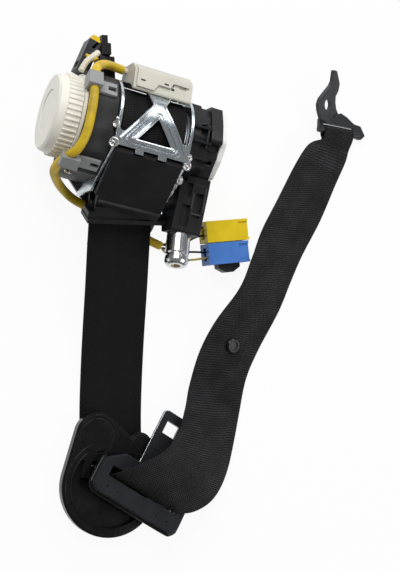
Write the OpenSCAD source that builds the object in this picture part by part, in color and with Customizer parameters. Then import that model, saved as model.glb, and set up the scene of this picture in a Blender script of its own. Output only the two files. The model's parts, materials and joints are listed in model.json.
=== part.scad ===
// Three-point seat belt: emergency locking retractor with pyrotechnic tensioner, webbing,
// pillar loop, buckle tongue and floor anchor, lying on its mounting plate.

/* [Webbing] */
// Width of the belt webbing
strap_w = 47; // [44:0.5:50]
// Thickness of the belt webbing
strap_t = 1.2; // [1:0.1:1.4]
// Outer diameter of the webbing wound on the spool
roll_d = 61; // [55:1:63]

/* [Frame] */
// Thickness of the pressed steel frame
sheet_t = 2; // [1.5:0.25:2.5]
// Thickness of the mounting plate
plate_t = 2.5; // [2:0.25:3.5]
// Gap from each webbing edge to the side plate
side_clear = 2; // [1.75:0.25:3]
// Gap from the wound webbing to the front plate
roll_clear = 2.5; // [2:0.25:3.5]
// Gap from the wound webbing to the mounting plate
back_clear = 4; // [3:0.5:5]
// Distance from the mounting hole to the spool axis
spool_y = 70; // [68:1:74]
// Diameter of the mounting bolt hole
bolt_hole_d = 10.5; // [8.5:0.5:12]

/* [Spool] */
// Diameter of the spool core under the webbing
core_d = 24; // [20:1:30]
// Diameter of the torsion bar and its journals
bar_d = 10; // [8:0.5:11]
// Radial running clearance of the shafts in their bearings
run_fit = 0.05; // [0.03:0.01:0.09]
// Free gap left between parts that do not touch
fit = 0.3; // [0.25:0.05:0.4]

/* [Locking] */
// Teeth of the lock ring, the control disc and the limiter ring
tooth_n = 36; // [36:12:48]
// Radius of the lock ring at its tooth tips
lock_r = 20; // [19.5:0.25:21]
// Diameter of the inertia ball
ball_d = 7.4; // [6:0.1:7.6]

/* [Tensioner] */
// Tooth module of pinion and rack
gear_m = 1.5; // [1.4:0.05:1.6]
// Teeth on the pinion
pinion_n = 18; // [17:1:19]
// Width of the pinion
pinion_w = 8; // [6:0.5:9]
// Diameter of the gas generator
gen_d = 17.5; // [16:0.5:18.5]
// Length of the gas generator outside its housing
gen_len = 22; // [18:1:26]

/* [Covers] */
// Width of the limiter housing on the spring side
left_w = 22; // [20:1:26]
// Depth of the spring cap
cap_len = 17; // [15:0.5:20]
// Diameter of the spring cap at its face
cap_d = 55; // [52:1:57]
// Diameter of the yellow harness sleeve
sleeve_d = 6.4; // [5:0.2:7]

/* [Fittings] */
// Bolt hole of the pillar loop
loop_hole_d = 12; // [10:0.5:13]
// Thickness of the steel tongue blade
blade_t = 2.6; // [2:0.2:3]
// Width of the tongue blade
blade_w = 21; // [18:0.5:23]
// Bolt hole of the floor anchor
anchor_hole_d = 9; // [8:0.5:10]
// Thickness of the floor anchor plate
anchor_t = 3; // [2.5:0.25:3.5]
// Diameter of the stop button on the webbing
button_d = 11.5; // [10:0.5:13]

/* [Hidden] */
$fn = 64;

sy = spool_y;
sz = plate_t + back_clear + roll_d / 2;
hg = strap_w / 2 + side_clear;
fo = hg + sheet_t;
fr = roll_d / 2 + roll_clear + sheet_t;
fs = fr / 35;
ws = hg / 25.5;
bar_r = bar_d / 2;
core_r = core_d / 2;
corner_y = sy - 17 * fs;
flange_low = 24;
axial = 0.4;
strap_r = roll_d / 2 + 2 * fit + strap_t / 2;
bush_r = bar_r + 3;

lh_in = -fo - fit;
lh_out = lh_in - left_w;
plate_in = lh_out - fit;
plate_out = plate_in - 2;
cap_in = plate_out - fit;
cap_out = cap_in - cap_len;

rh_in = fo + fit;
rh_web = rh_in + 8.2;
rh_mid = rh_web + 2.4;
rh_out = rh_in + 27;
rim_in = rh_out - 8.8;

base_r = lock_r - 1.4;
disc_r = 17;
pawl_at = 11.5;
pawl_len = 13.5;
pawl_pin = 4.5;

pitch_r = gear_m * pinion_n / 2;
pin_in = rh_mid + 2;
rack_x = pin_in + pinion_w / 2;
tilt = 15;
ky = cos(tilt);
kz = -sin(tilt);
tube_in = 7.2;
tube_out = 8.6;
rod_b = pitch_r + 4.5;
tube_top = -22;
tube_end = -60;

// Slot centres and turns of the pillar loop and the tongue
loop_at = [46, -165, 0];
loop_turn = -2;
loop_z = 3.2;
loop_top = 11.4;
tongue_at = [59, -177, 19.5];
tongue_turn = -20;
tongue_tilt = -9;

function unit(v) = v / norm(v);
function polar(r, a) = [r * cos(a), r * sin(a)];

// Outline with every corner rounded by an arc
function corner(a, b, c, r, n) =
    let (u = unit(a - b), v = unit(c - b), h = acos(u * v) / 2,
        m = b + unit(u + v) * r / sin(h), s = b + u * r / tan(h) - m, e = b + v * r / tan(h) - m,
        w = 180 - 2 * h)
    [for (i = [0:n]) m + (sin(w - w * i / n) * s + sin(w * i / n) * e) / sin(w)];
function rounded(p, r, n = 5) =
    [for (i = [0:len(p) - 1]) each corner(p[(i + len(p) - 1) % len(p)], p[i], p[(i + 1) % len(p)],
        r, n)];

// Offsets from the spool axis, scaled with the frame, as points of the side view
function at_axis(p) = [for (q = p) [sy + q[0] * fs, sz + q[1] * fs]];

// Point of the side view a along the rack and b out from the spool axis
function rack_pt(a, b) = [sy + a * ky + b * kz, sz + a * kz - b * ky];

// Smooth curve through a list of stations
function blend4(a, b, c, d, t) =
    0.5 * (2 * b + (c - a) * t + (2 * a - 5 * b + 4 * c - d) * t * t + (3 * b - a - 3 * c + d) * t * t * t);
function smooth(p, n) =
    [for (i = [0:len(p) - 2]) for (j = [0:n - 1])
        blend4(p[max(i - 1, 0)], p[i], p[i + 1], p[min(i + 2, len(p) - 1)], j / n),
        p[len(p) - 1]];

module side(x0, x1) {
    translate([x0, 0, 0])
        rotate([90, 0, 90])
            linear_extrude(x1 - x0)
                children();
}

module plan(z0, z1) {
    translate([0, 0, z0])
        linear_extrude(z1 - z0)
            children();
}

module axle(x0, x1, r) {
    translate([x0, sy, sz])
        rotate([0, 90, 0])
            cylinder(h = x1 - x0, r = r);
}

module axle_at(x0, x1, p, r) {
    translate([x0, p[0], p[1]])
        rotate([0, 90, 0])
            cylinder(h = x1 - x0, r = r);
}

module along_rack(a0, a1, r) {
    q = rack_pt(a0, rod_b);
    translate([rack_x, q[0], q[1]])
        rotate([-90 - tilt, 0, 0])
            cylinder(h = a1 - a0, r = r);
}

// Bar from p to q with round ends
module arm(p, q, r1, r2) {
    d = unit(q - p);
    n = [-d[1], d[0]];
    translate(p)
        circle(r1, $fn = 32);
    translate(q)
        circle(r2, $fn = 32);
    polygon([p + n * r1, p - n * r1, q - n * r2, q + n * r2]);
}

// Saw-tooth ring outline between two radii
module teeth(r0, r1, phase) {
    step = 360 / tooth_n;
    polygon([for (i = [0:tooth_n - 1]) each [polar(r1, i * step + phase), polar(r0,
        (i + 0.5) * step + phase)]]);
}

// Tube swept along a route of points
module tube(route, d, sides) {
    n = len(route);
    dirs = [for (i = [0:n - 1]) unit(route[min(i + 1, n - 1)] - route[max(i - 1, 0)])];
    rings = [for (i = [0:n - 1])
        let (a = unit(cross(dirs[i], abs(dirs[i][2]) > 0.9 ? [0, 1, 0] : [0, 0, 1])),
            b = cross(dirs[i], a))
        [for (k = [0:sides - 1]) route[i] + d / 2 * (a * cos(k * 360 / sides) + b * sin(k * 360 / sides))]];
    polyhedron(
        points = [for (r = rings) each r],
        faces = concat(
            [[for (k = [0:sides - 1]) k]],
            [for (i = [0:n - 2]) for (k = [0:sides - 1])
                [i * sides + k, (i + 1) * sides + k, (i + 1) * sides + (k + 1) % sides,
                    i * sides + (k + 1) % sides]],
            [[for (k = [0:sides - 1]) n * sides - 1 - k]]));
}

// Steel frame

module side_outline() {
    intersection() {
        translate([sy, sz])
            circle(fr, $fn = 96);
        translate([0, plate_t])
            square([300, 300]);
    }
    polygon([[flange_low, plate_t], [sy + fr, plate_t], [sy + fr, sz], [sy, sz + fr],
        [corner_y, sz + fr],
        [flange_low + 6, sz + 5], [flange_low, sz - 1]]);
}

module front_shell(extra) {
    intersection() {
        translate([sy, sz])
            difference() {
                circle(fr + extra, $fn = 96);
                circle(fr - sheet_t, $fn = 96);
            }
        translate([sy, sz + 8])
            square([fr + extra, fr + extra]);
    }
    translate([corner_y, sz + fr - sheet_t])
        square([sy - corner_y, sheet_t + extra]);
}

function xy(p) = [for (q = p) [q[0] * ws, sy + q[1] * fs]];
window_low = xy([[-15.6, -11.8], [17, -11.8], [0.7, 10.4]]);
window_rim = xy([[-23.6, -15.6], [24.6, -15.6], [0.7, 17.6]]);
window_groove = xy([[-20, -14], [21.2, -14], [0.7, 14.8]]);
window_left = xy([[-25.5, -12], [-25.5, 32], [-9.5, 32], [-3.8, 17.6]]);
window_right = xy([[25.5, -11], [25.5, 32], [15, 32], [5.4, 18.6]]);

module frame() {
    color([0.74, 0.76, 0.79]) {
        difference() {
            side(-fo, -hg)
                side_outline();
            axle(-fo - 1, -hg + 1, bush_r);
        }
        difference() {
            side(hg, fo)
                side_outline();
            translate([hg - 1, sy, sz])
                rotate([90, 0, 90])
                    linear_extrude(sheet_t + 2)
                        teeth(lock_r, lock_r + 2, 40.2);
        }
        difference() {
            side(-fo, fo)
                front_shell(0);
            plan(sz, sz + fr + 5) {
                polygon(rounded(window_low, 3));
                polygon(rounded(window_left, 2.5));
                polygon(rounded(window_right, 2.5));
            }
        }
        difference() {
            intersection() {
                side(-hg, hg)
                    front_shell(1);
                plan(sz + 10, sz + fr + 5)
                    polygon(rounded(window_rim, 4));
            }
            plan(sz, sz + fr + 5) {
                polygon(rounded(window_low, 3));
                polygon(rounded(window_left, 2.5));
                polygon(rounded(window_right, 2.5));
            }
            intersection() {
                side(-hg, hg)
                    front_shell(2);
                plan(sz + 10, sz + fr + 5)
                    polygon(rounded(window_groove, 3.5));
            }
        }
        for (x = [-8.5, 8.5])
            translate([x * ws - 3, corner_y - 3.2, sz + fr - sheet_t])
                cube([6, 3.6, sheet_t]);
    }
}

module mounting_plate() {
    color([0.52, 0.53, 0.55])
        difference() {
            plan(0, plate_t)
                polygon(rounded([[-fo - 3, sy + fr - 2], [-fo - 3, 58], [-43, 52], [-43, 42],
                    [-13, 13], [-11.5, -11.5],
                    [11.5, -11.5], [13, 9], [34, 10], [38, 26], [fo + 3, 58],
                        [fo + 3, sy + fr - 2]], 4));
            translate([0, 0, -1])
                cylinder(h = plate_t + 2, d = bolt_hole_d);
        }
}

module frame_rivets() {
    color([0.80, 0.81, 0.83]) {
        for (p = [[corner_y + 1, sz + fr - 3.6], [sy, sz + fr - 2.7]])
            axle_at(-fo - 1.6, -fo, p, 2.5);
        for (p = [[corner_y + 1, sz + fr - 3.6], [43, sz + 15], [35.5, sz + 9.4]])
            axle_at(fo, fo + 1.6, p, 2.5);
    }
}

// Spring side

left_shape = [[-37, -33], [-37, 10], [-24, 24.5], [-8, 29.5], [12, 29.5], [27, 20.5], [34, 9],
    [34, -33]];
squib_spot = [sy - 26, sz - 12];
limit_at = [-12, -22];
limit_tip = [-12.6, -11.1];

module left_housing() {
    color([0.07, 0.07, 0.075]) {
        difference() {
            side(lh_out, lh_in)
                polygon(rounded(at_axis(left_shape), 4));
            axle(lh_out - 1, lh_in + 1, bush_r);
            axle(lh_out + 2, lh_in - 6.5, 24);
            axle(lh_in - 8, lh_in + 1, 18);
            side(lh_in - 6, lh_in + 1)
                translate([sy, sz])
                    arm(limit_at, limit_at + [-4, 12], 5, 5);
            axle_at(lh_in - 18, lh_in + 1, squib_spot, 5.3);
        }
        axle_at(lh_in - 6, lh_in, [sy + limit_at[0], sz + limit_at[1]], 1.6);
    }
}

module spring_plate() {
    color([0.86, 0.85, 0.80])
        difference() {
            axle(plate_out, plate_in, cap_d / 2 + 4);
            axle(plate_out - 1, plate_in + 1, bar_r + 1);
        }
}

cap_rib_r = cap_d / 2 + 2.2;
cap_groove_r = cap_rib_r - 0.8;

module spring_cap() {
    color([0.90, 0.89, 0.84])
        difference() {
            union() {
                translate([cap_out, sy, sz])
                    rotate([0, 90, 0]) {
                        cylinder(h = 1.5, r1 = cap_d / 2 - 1.5, r2 = cap_d / 2);
                        translate([0, 0, 1.5])
                            cylinder(h = cap_len * 0.4, r1 = cap_d / 2, r2 = cap_d / 2 + 1);
                    }
                translate([cap_in - cap_len * 0.6, sy, sz])
                    rotate([90, 0, 90])
                        linear_extrude(cap_len * 0.6)
                            polygon([for (i = [0:47]) each [
                                polar(cap_rib_r, i * 7.5),
                                polar(cap_rib_r, i * 7.5 + 1.6),
                                polar(cap_groove_r, i * 7.5 + 2.6),
                                polar(cap_groove_r, i * 7.5 + 6.5)]]);
            }
            axle(cap_out + 2, cap_in + 1, cap_d / 2 - 2);
            axle(cap_out - 1, cap_out + 0.6, 16);
        }
}

spring_r0 = bar_r + 4.4;
spring_r1 = cap_d / 2 - 2.6;

module return_spring() {
    turns = 7;
    steps = turns * 24;
    inner = [for (i = [0:steps]) polar(spring_r0 + (spring_r1 - 0.6 - spring_r0) * i / steps, i * 15)];
    outer = [for (i = [steps:-1:0]) polar(spring_r0 + 0.5 + (spring_r1 - 0.6 - spring_r0) * i / steps, i * 15)];
    color([0.45, 0.46, 0.48])
        translate([cap_out + 2.5, sy, sz])
            rotate([90, 0, 90])
                linear_extrude(cap_len - 4)
                    polygon(concat(inner, outer));
}

screw_spots = [[lh_out + 3.2, sy + 1, sz + 29.5 * fs], [lh_out + 3.2, sy - 37 * fs, sz + 2]];

module housing_screws() {
    color([0.78, 0.79, 0.80]) {
        translate(screw_spots[0])
            difference() {
                cylinder(h = 1.6, r = 2.6);
                translate([0, 0, 0.8])
                    cylinder(h = 2, r = 1.3, $fn = 6);
            }
        translate(screw_spots[1])
            rotate([90, 0, 0])
                difference() {
                    cylinder(h = 1.6, r = 2.6);
                    translate([0, 0, 0.8])
                        cylinder(h = 2, r = 1.3, $fn = 6);
                }
    }
}

// Harness

sleeve_route = [[-22, 113.5, 38.5], [-31, 113.5, 40], [-38, 111.5, 46], [-44, 107, 54],
    [-47.5, 101, 62], [-48, 91, 67.4],
    [-47.5, 80, 71], [-47.2, 66, 72], [-47.5, 54, 70.5], [-50, 43.5, 65.5], [-54.5, 38.5, 56],
        [-57, 33.5, 47],
    [-56, 30.5, 38], [-52, 28.8, 28], [-45.7, 26, 18], [-38, 23, 10.5], [-30, 20, 7],
        [-18.4, 17, 6.6], [6, 11.5, 6.4],
    [28, 5.5, 6.6], [42, 2.5, 7]];

module harness_sleeve() {
    color([0.93, 0.74, 0.05])
        tube(smooth(sleeve_route, 3), sleeve_d, 12);
}

module harness_cable() {
    color([0.88, 0.85, 0.74])
        tube(smooth([[-43, 120, 39.8], [-47, 115, 43.5], [-52, 108.5, 48.5],
            [-54.8, 101, 50]], 4), 4.4, 10);
}

module module_cable() {
    color([0.80, 0.76, 0.64])
        tube(smooth([[-21.6, 113.5, 38.5], [-18, 113.5, 38.5], [-14.5, 113.5, 38.5]], 3), 4, 10);
}

// Clip block with the sleeve's channel through it
module clip_upper() {
    color([0.48, 0.49, 0.51])
        difference() {
            translate([0, sy + 20 * fs, sz + 24.8 * fs])
                rotate([-32, 0, 0]) {
                    difference() {
                        translate([lh_out - 3.5, -5.5, 0.2])
                            cube([left_w + 1, 11, 2]);
                        translate([lh_in - 9, -2, -1])
                            cube([6, 4, 4]);
                    }
                    translate([lh_out - 3.5, -7, 2.2])
                        cube([10, 12, 7.6]);
                }
            tube(smooth(sleeve_route, 3), sleeve_d + 3 * fit, 12);
        }
}

module clip_lower() {
    color([0.48, 0.49, 0.51])
        difference() {
            translate([0, sy - 31 * fs, sz + 18 * fs])
                rotate([48, 0, 0]) {
                    difference() {
                        translate([lh_out - 3.5, -4.5, 0.2])
                            cube([left_w + 1, 9, 2]);
                        translate([lh_in - 9, -1.6, -1])
                            cube([6, 3.2, 4]);
                    }
                    translate([lh_out - 8.5, -4.5, 0.2])
                        cube([13, 9, 7.5]);
                }
            tube(smooth(sleeve_route, 3), sleeve_d + 3 * fit, 12);
        }
}

holder_at = [-55, 106.2, 22];

module connector_holder() {
    color([0.16, 0.17, 0.18])
        translate(holder_at)
            rotate([0, 0, -12])
                difference() {
                    cube([9, 24, 15]);
                    translate([1.5, 9, 2])
                        cube([6, 17, 11]);
                    translate([-1, 2, 3])
                        cube([4, 5, 9]);
                }
}

module holder_insert() {
    color([0.94, 0.76, 0.06])
        translate(holder_at)
            rotate([0, 0, -12])
                translate([1.5 + fit, 9 + fit, 2 + fit])
                    cube([6 - 2 * fit, 19, 11 - 2 * fit]);
}

module plug_housing() {
    color([0.08, 0.08, 0.085])
        translate([-35.8, 104.35, 20])
            rotate([0, 0, 14])
                difference() {
                    union() {
                        cube([11, 16, 14]);
                        translate([1, 16, 1])
                            cube([7, 10, 12]);
                        translate([3, 26, 2])
                            cube([4.5, 6, 9]);
                    }
                    translate([2, -1, 4])
                        cube([7, 8, 6]);
                }
}

module plug_lock() {
    color([0.94, 0.76, 0.06])
        translate([-35.8, 104.35, 20])
            rotate([0, 0, 14])
                translate([1, 17, 13 + fit])
                    cube([7, 8, 3]);
}

// Top electronics box

module module_shape(x0, x1, grow) {
    difference() {
        side(x0, x1)
            polygon(rounded([[sy + 26.5, sz + 24.5 + grow], [sy + 42, sz + 21 + grow],
                [sy + 48, sz + 12],
                [sy + 48, sz - 8], [sy + fr - 3, sz - 8]], 1.5));
        axle(x0 - 1, x1 + 1, fr + fit);
    }
}

module sensor_module() {
    color([0.85, 0.82, 0.74])
        difference() {
            module_shape(-19, 25, 0);
            axle_at(-20, -14, [113.5, 38.5], 2.3);
            for (x = [6, 15])
                translate([x, sy + 36, sz + 21])
                    cube([5, 3, 5]);
        }
}

module module_lid() {
    color([0.88, 0.86, 0.79])
        intersection() {
            difference() {
                module_shape(-19, 25, 1.6);
                module_shape(-20, 26, fit);
            }
            plan(sz, sz + 60)
                polygon([[-17, sy + 46], [-17, sy + 29], [-4, sy + 29], [-1, sy + 34], [8, sy + 34],
                    [10, sy + 38],
                    [22, sy + 38], [22, sy + 42], [6, sy + 42], [4, sy + 46]]);
        }
}

// Locking side

sensor_o = [24.9, -22.9];
lever_o = [-6.2, -7];
right_in = [[-22, -33], [-22, 8], [-16, 20.5], [8, 20.5], [24, 16], [33, 9], [33, -33]];
right_rim = [[-18.5, -33], [-18.5, 8], [-4, 16], [4, 16], [6, 23.5], [20, 18], [34, 10], [34, -33]];

module lock_housing() {
    color([0.06, 0.06, 0.065]) {
        difference() {
            union() {
                side(rh_in, rh_mid)
                    polygon(rounded(at_axis(right_in), 3));
                side(rh_mid, rim_in)
                    polygon(rounded(at_axis([[-18.5, -33], [-18.5, 8], [-14, 18.3], [8, 18.3],
                        [24, 14], [32, 7],
                        [32, -33]]), 3));
                side(rim_in, rh_out)
                    polygon(rounded(at_axis(right_rim), 2));
                for (q = [[-9, 16], [3, 17], [14, 15]])
                    translate([rh_in + 0.5, sy + q[0] * fs, sz + 6])
                        cube([rim_in - rh_in, 1.6, q[1] * fs]);
            }
            axle(rh_in - 1, rh_in + 1.4, lock_r + 1.6);
            axle(rh_in - 1, rh_web, disc_r + 1.3);
            axle(rh_web - 1, rh_mid + 1, bush_r);
            axle(rh_mid, rh_out - 2.4, pitch_r + gear_m + 1);
            side(rh_in - 1, rh_web)
                translate([sy, sz])
                    polygon(rounded([[9, -32.2], [31.7, -32.2], [31.7, -13.5], [13, -8],
                        [9, -12]], 1.5));
            side(rack_x - 4.6, rack_x + 4.6)
                polygon([rack_pt(-30, pitch_r - 3), rack_pt(37.5, pitch_r - 3), rack_pt(37.5,
                    rod_b + 4.4),
                    rack_pt(-30, rod_b + 4.4)]);
        }
        axle_at(rh_in + 0.4, rh_web + 0.5, [sy + sensor_o[0] + lever_o[0],
            sz + sensor_o[1] + lever_o[1]], 1.1);
    }
}

cover_out = [[-17, -28], [-17, 6], [-5, 16], [8, 20.5], [20, 16], [33, 7], [33, -28]];
cover_in = [[-15, -26], [-15, 5], [-4, 14], [8, 18.5], [19, 14], [31, 5.5], [31, -26]];

module lock_cover() {
    color([0.93, 0.93, 0.92])
        difference() {
            side(rh_out + fit, rh_out + fit + 3.8)
                polygon(rounded(at_axis(cover_out), 5));
            side(rh_out - 1, rh_out + fit + 2.2)
                polygon(rounded(at_axis(cover_in), 4));
        }
}

module spool_bushes() {
    color([0.30, 0.31, 0.33])
        for (span = [[-fo, -hg + 0.2], [rh_web, rh_mid]])
            difference() {
                axle(span[0], span[1], bush_r);
                axle(span[0] - 1, span[1] + 1, bar_r + run_fit);
            }
}

module sensor_cage() {
    color([0.55, 0.56, 0.58])
        translate([0, sy + sensor_o[0], sz + sensor_o[1]])
            difference() {
                translate([rh_in + 0.4, -ball_d / 2 + 1.4, -7])
                    cube([7.4, 8.6, 13]);
                translate([rh_in + 4.1, 0, 0])
                    sphere(d = ball_d + 0.6);
                translate([rh_in + 4.1, 0, 0])
                    rotate([90, 0, 0])
                        cylinder(h = 9, d = ball_d + 0.6);
                translate([rh_in - 1, -ball_d, -4.4])
                    cube([2, ball_d * 2.5, 8.8]);
                translate([rh_in + 7, -ball_d, -4.4])
                    cube([2, ball_d * 2.5, 8.8]);
            }
}

module sensor_ball() {
    color([0.85, 0.86, 0.88])
        translate([rh_in + 4.1, sy + sensor_o[0], sz + sensor_o[1]])
            sphere(d = ball_d);
}

module sensor_lever() {
    color([0.90, 0.90, 0.86])
        side(rh_in + 2.6, rh_in + 5.6)
            translate([sy + sensor_o[0], sz + sensor_o[1]])
                difference() {
                    union() {
                        translate(lever_o)
                            circle(2.2, $fn = 32);
                        polygon([lever_o + [2.2, 0], lever_o + [0.2, 13.8], lever_o + [-3.4, 15.6],
                            lever_o + [-3.4, 14.8], lever_o + [-1.2, 12.8], lever_o + [-2.2, 0]]);
                    }
                    translate(lever_o)
                        circle(1.1 + run_fit, $fn = 32);
                }
}

// Tensioner

module tensioner_housing() {
    color([0.055, 0.055, 0.06])
        difference() {
            union() {
                side(rack_x - tube_out - 1.6, rack_x + tube_out + 3.4)
                    polygon(rounded([[sy - 22.4 * fs, sz - 26], [sy - 22.4 * fs, sz + 9.8],
                        [10, sz + 8], [10, sz - 12],
                        [28, sz - 20]], 2.5));
                side(rh_mid + fit, rack_x + tube_out + 3.4)
                    translate([sy - 24 * fs, sz - 24])
                        square([5 * fs, 33.5]);
                side(fo + fit, rack_x - tube_out - 1)
                    polygon(rounded([[sy - 24 * fs, sz - 26], [sy - 24 * fs, sz + 4], [27, sz + 6],
                        [27, sz - 20]], 2.5));
            }
            along_rack(-70, 0, tube_out + 0.1);
            translate([rack_x + 3, 22, sz + 6])
                cube([6, 18, 9]);
            translate([rack_x - 6, 36, sz + 7])
                cube([5.5, 10, 9]);
            translate([rack_x - 6, 14, sz + 6.5])
                cube([7, 16, 9]);
            translate([rack_x + tube_out + 2.2, 18, sz - 3])
                cube([4, 20, 7]);
        }
}

module tensioner_tube() {
    color([0.66, 0.67, 0.69])
        difference() {
            along_rack(tube_end, tube_top, tube_out);
            along_rack(tube_end + 3, tube_top + 1, tube_in);
        }
}

module gas_generator() {
    a = tube_end - fit;
    q = rack_pt(a - gen_len, rod_b);
    r = gen_d / 2;
    color([0.80, 0.82, 0.84])
        difference() {
            translate([rack_x, q[0], q[1]])
                rotate([-90 - tilt, 0, 0])
                    rotate_extrude()
                        polygon([[0, 0], [r - 3.2, 0], [r - 1.2, 0.7], [r, 2.6], [r, 5.8],
                            [r - 0.9, 6.6], [r - 0.9, 7.8],
                            [r, 8.6], [r, gen_len], [0, gen_len]]);
            along_rack(a - gen_len - 1, a - gen_len + 9, 3.4);
        }
}

module igniter() {
    a = tube_end - fit - gen_len;
    color([0.55, 0.48, 0.25])
        along_rack(a + 1.5, a + 9, 3.4);
}

// Involute flank and tooth outlines
base_c = pitch_r * cos(20);
tip_c = pitch_r + gear_m;
root_c = pitch_r - 1.25 * gear_m;
function inv(t) = t - atan(t * PI / 180);
roll_tip = sqrt((tip_c / base_c) * (tip_c / base_c) - 1) * 180 / PI;
half_tooth = 90 / pinion_n + inv(tan(20) * 180 / PI) - 0.6;
function flank(s) =
    [for (i = [0:5]) let (t = roll_tip * (s > 0 ? 5 - i : i) / 5)
        polar(base_c * sqrt(1 + (t * PI / 180) * (t * PI / 180)), s * (half_tooth - inv(t)))];
function turned(p, a) = [for (q = p) [q[0] * cos(a) - q[1] * sin(a), q[0] * sin(a) + q[1] * cos(a)]];
tooth = concat([polar(root_c, -half_tooth - 0.6)], flank(-1), flank(1),
    [polar(root_c, half_tooth + 0.6)]);

module drive_pinion() {
    color([0.60, 0.61, 0.63])
        difference() {
            translate([pin_in, sy, sz])
                rotate([90, 0, 90])
                    linear_extrude(pinion_w)
                        polygon([for (i = [0:pinion_n - 1])
                            each turned(tooth, i * 360 / pinion_n - 90 - tilt)]);
            axle(pin_in - 1, pin_in + pinion_w + 1, bar_r + run_fit);
        }
}

module piston_rack() {
    pitch = PI * gear_m;
    tip = pitch_r - gear_m;
    root = pitch_r + 1.25 * gear_m;
    slope = tan(20);
    half = pitch / 4 - 0.12;
    teeth_pts = [for (i = [-7:1]) each [
        rack_pt((i + 0.5) * pitch - half - 1.25 * gear_m * slope, root),
        rack_pt((i + 0.5) * pitch - half + gear_m * slope, tip),
        rack_pt((i + 0.5) * pitch + half - gear_m * slope, tip),
        rack_pt((i + 0.5) * pitch + half + 1.25 * gear_m * slope, root)]];
    color([0.62, 0.63, 0.65]) {
        side(rack_x - 3.5, rack_x + 3.5)
            polygon(concat([rack_pt(-49, root)], teeth_pts,
                [rack_pt(9.5, root), rack_pt(9.5, rod_b + 3.6), rack_pt(-49, rod_b + 3.6)]));
        along_rack(-55, -49, tube_in - run_fit);
    }
}

// Spool and what turns with it

module spool() {
    color([0.62, 0.63, 0.65])
        difference() {
            union() {
                axle(-hg + axial, hg - axial, core_r);
                axle(-hg + axial, -strap_w / 2 - fit, roll_d / 2 - 3);
                axle(strap_w / 2 + fit, hg - axial, roll_d / 2 - 3);
            }
            axle(-hg, hg, bar_r);
        }
}

module torsion_bar() {
    color([0.50, 0.51, 0.53])
        axle(cap_out + 3, rh_out - 3.4, bar_r);
}

module webbing_roll() {
    color([0.05, 0.05, 0.055])
        difference() {
            axle(-strap_w / 2, strap_w / 2, roll_d / 2);
            axle(-strap_w, strap_w, core_r);
        }
}

module spring_arbor() {
    color([0.90, 0.90, 0.86])
        difference() {
            axle(cap_out + 2.5, cap_in - 0.5, bar_r + 4);
            axle(cap_out, cap_in, bar_r);
        }
}

module limiter_ring() {
    color([0.55, 0.56, 0.58])
        difference() {
            translate([lh_in - 5, sy, sz])
                rotate([90, 0, 90])
                    linear_extrude(4.5)
                        teeth(15, 16.2, 0.4);
            axle(lh_in - 7, lh_in + 1, bar_r);
        }
}

module limiter_pawl() {
    color([0.60, 0.60, 0.62])
        side(lh_in - 4.6, lh_in - 0.9)
            translate([sy, sz])
                difference() {
                    arm(limit_at, limit_tip + [-1, -0.6], 3.4, 0.8);
                    translate(limit_at)
                        circle(1.6 + run_fit, $fn = 32);
                }
}

module limiter_squib() {
    color([0.75, 0.76, 0.78])
        axle_at(lh_in - 17, lh_in - 3, squib_spot, 5);
}

pawl_p = [pawl_at, 0];
function pawl_tip(b) = pawl_p + polar(pawl_len, b);

module pawl_pocket(r, reach) {
    translate(pawl_p)
        circle(r, $fn = 32);
    translate(pawl_p)
        polygon([
            polar(r - 0.3, -32),
            polar(r - 0.3, -32) + polar(reach, 58),
            polar(reach + 3, 75),
            polar(r - 0.3, 182) + polar(reach, 92),
            polar(r - 0.3, 182)]);
}

module lock_base() {
    color([0.66, 0.67, 0.69]) {
        difference() {
            axle(hg - axial, fo + 1.2, base_r);
            axle(hg - 1, fo + 2, bar_r);
            side(hg + 0.2, fo + 2)
                translate([sy, sz])
                    pawl_pocket(3.5, pawl_len + 4);
        }
        axle_at(hg, fo + 0.7, [sy + pawl_at, sz], 1.5);
    }
}

module lock_pawl() {
    color([0.45, 0.46, 0.48]) {
        side(hg + 0.5, fo + 0.7)
            translate([sy, sz])
                difference() {
                    arm(pawl_p, pawl_tip(90), 3, 0.8);
                    translate(pawl_p)
                        circle(1.5 + run_fit, $fn = 32);
                }
        axle_at(fo + 0.5, fo + 2.9, [sy + pawl_p[0], sz + pawl_pin], 0.9);
    }
}

module control_disc() {
    color([0.88, 0.88, 0.84]) {
        difference() {
            translate([fo + 1.7, sy, sz])
                rotate([90, 0, 90])
                    linear_extrude(2.5)
                        difference() {
                            teeth(disc_r - 1.2, disc_r, 0);
                            circle(bar_r + run_fit);
                        }
            side(fo + 1, fo + 5)
                translate([sy, sz])
                    arm([pawl_at, pawl_pin], [pawl_at + 0.14, pawl_pin + 2.37], 1.25, 1.25);
        }
        axle_at(fo + 3.2, fo + 6.6, [sy - 8.5, sz - 4], 1.3);
    }
}

module inertia_pawl() {
    color([0.70, 0.68, 0.55])
        side(fo + 4.5, fo + 6.6)
            translate([sy, sz])
                difference() {
                    union() {
                        arm([-8.5, -4], [1, -12], 2.6, 2);
                        arm([-8.5, -4], [-10.5, 4], 2.6, 1.8);
                    }
                    translate([-8.5, -4])
                        circle(1.3 + run_fit, $fn = 32);
                }
}

// Webbing guide with its slanted mouth

mouth_at = [1, 15, 28.5];
mouth_turn = 12;
mouth_pitch = 30;
mouth_in = strap_w / 2 + 1.4;

module mouth_frame() {
    translate(mouth_at)
        rotate([0, 0, mouth_turn])
            rotate([mouth_pitch, 0, 0])
                children();
}

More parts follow.
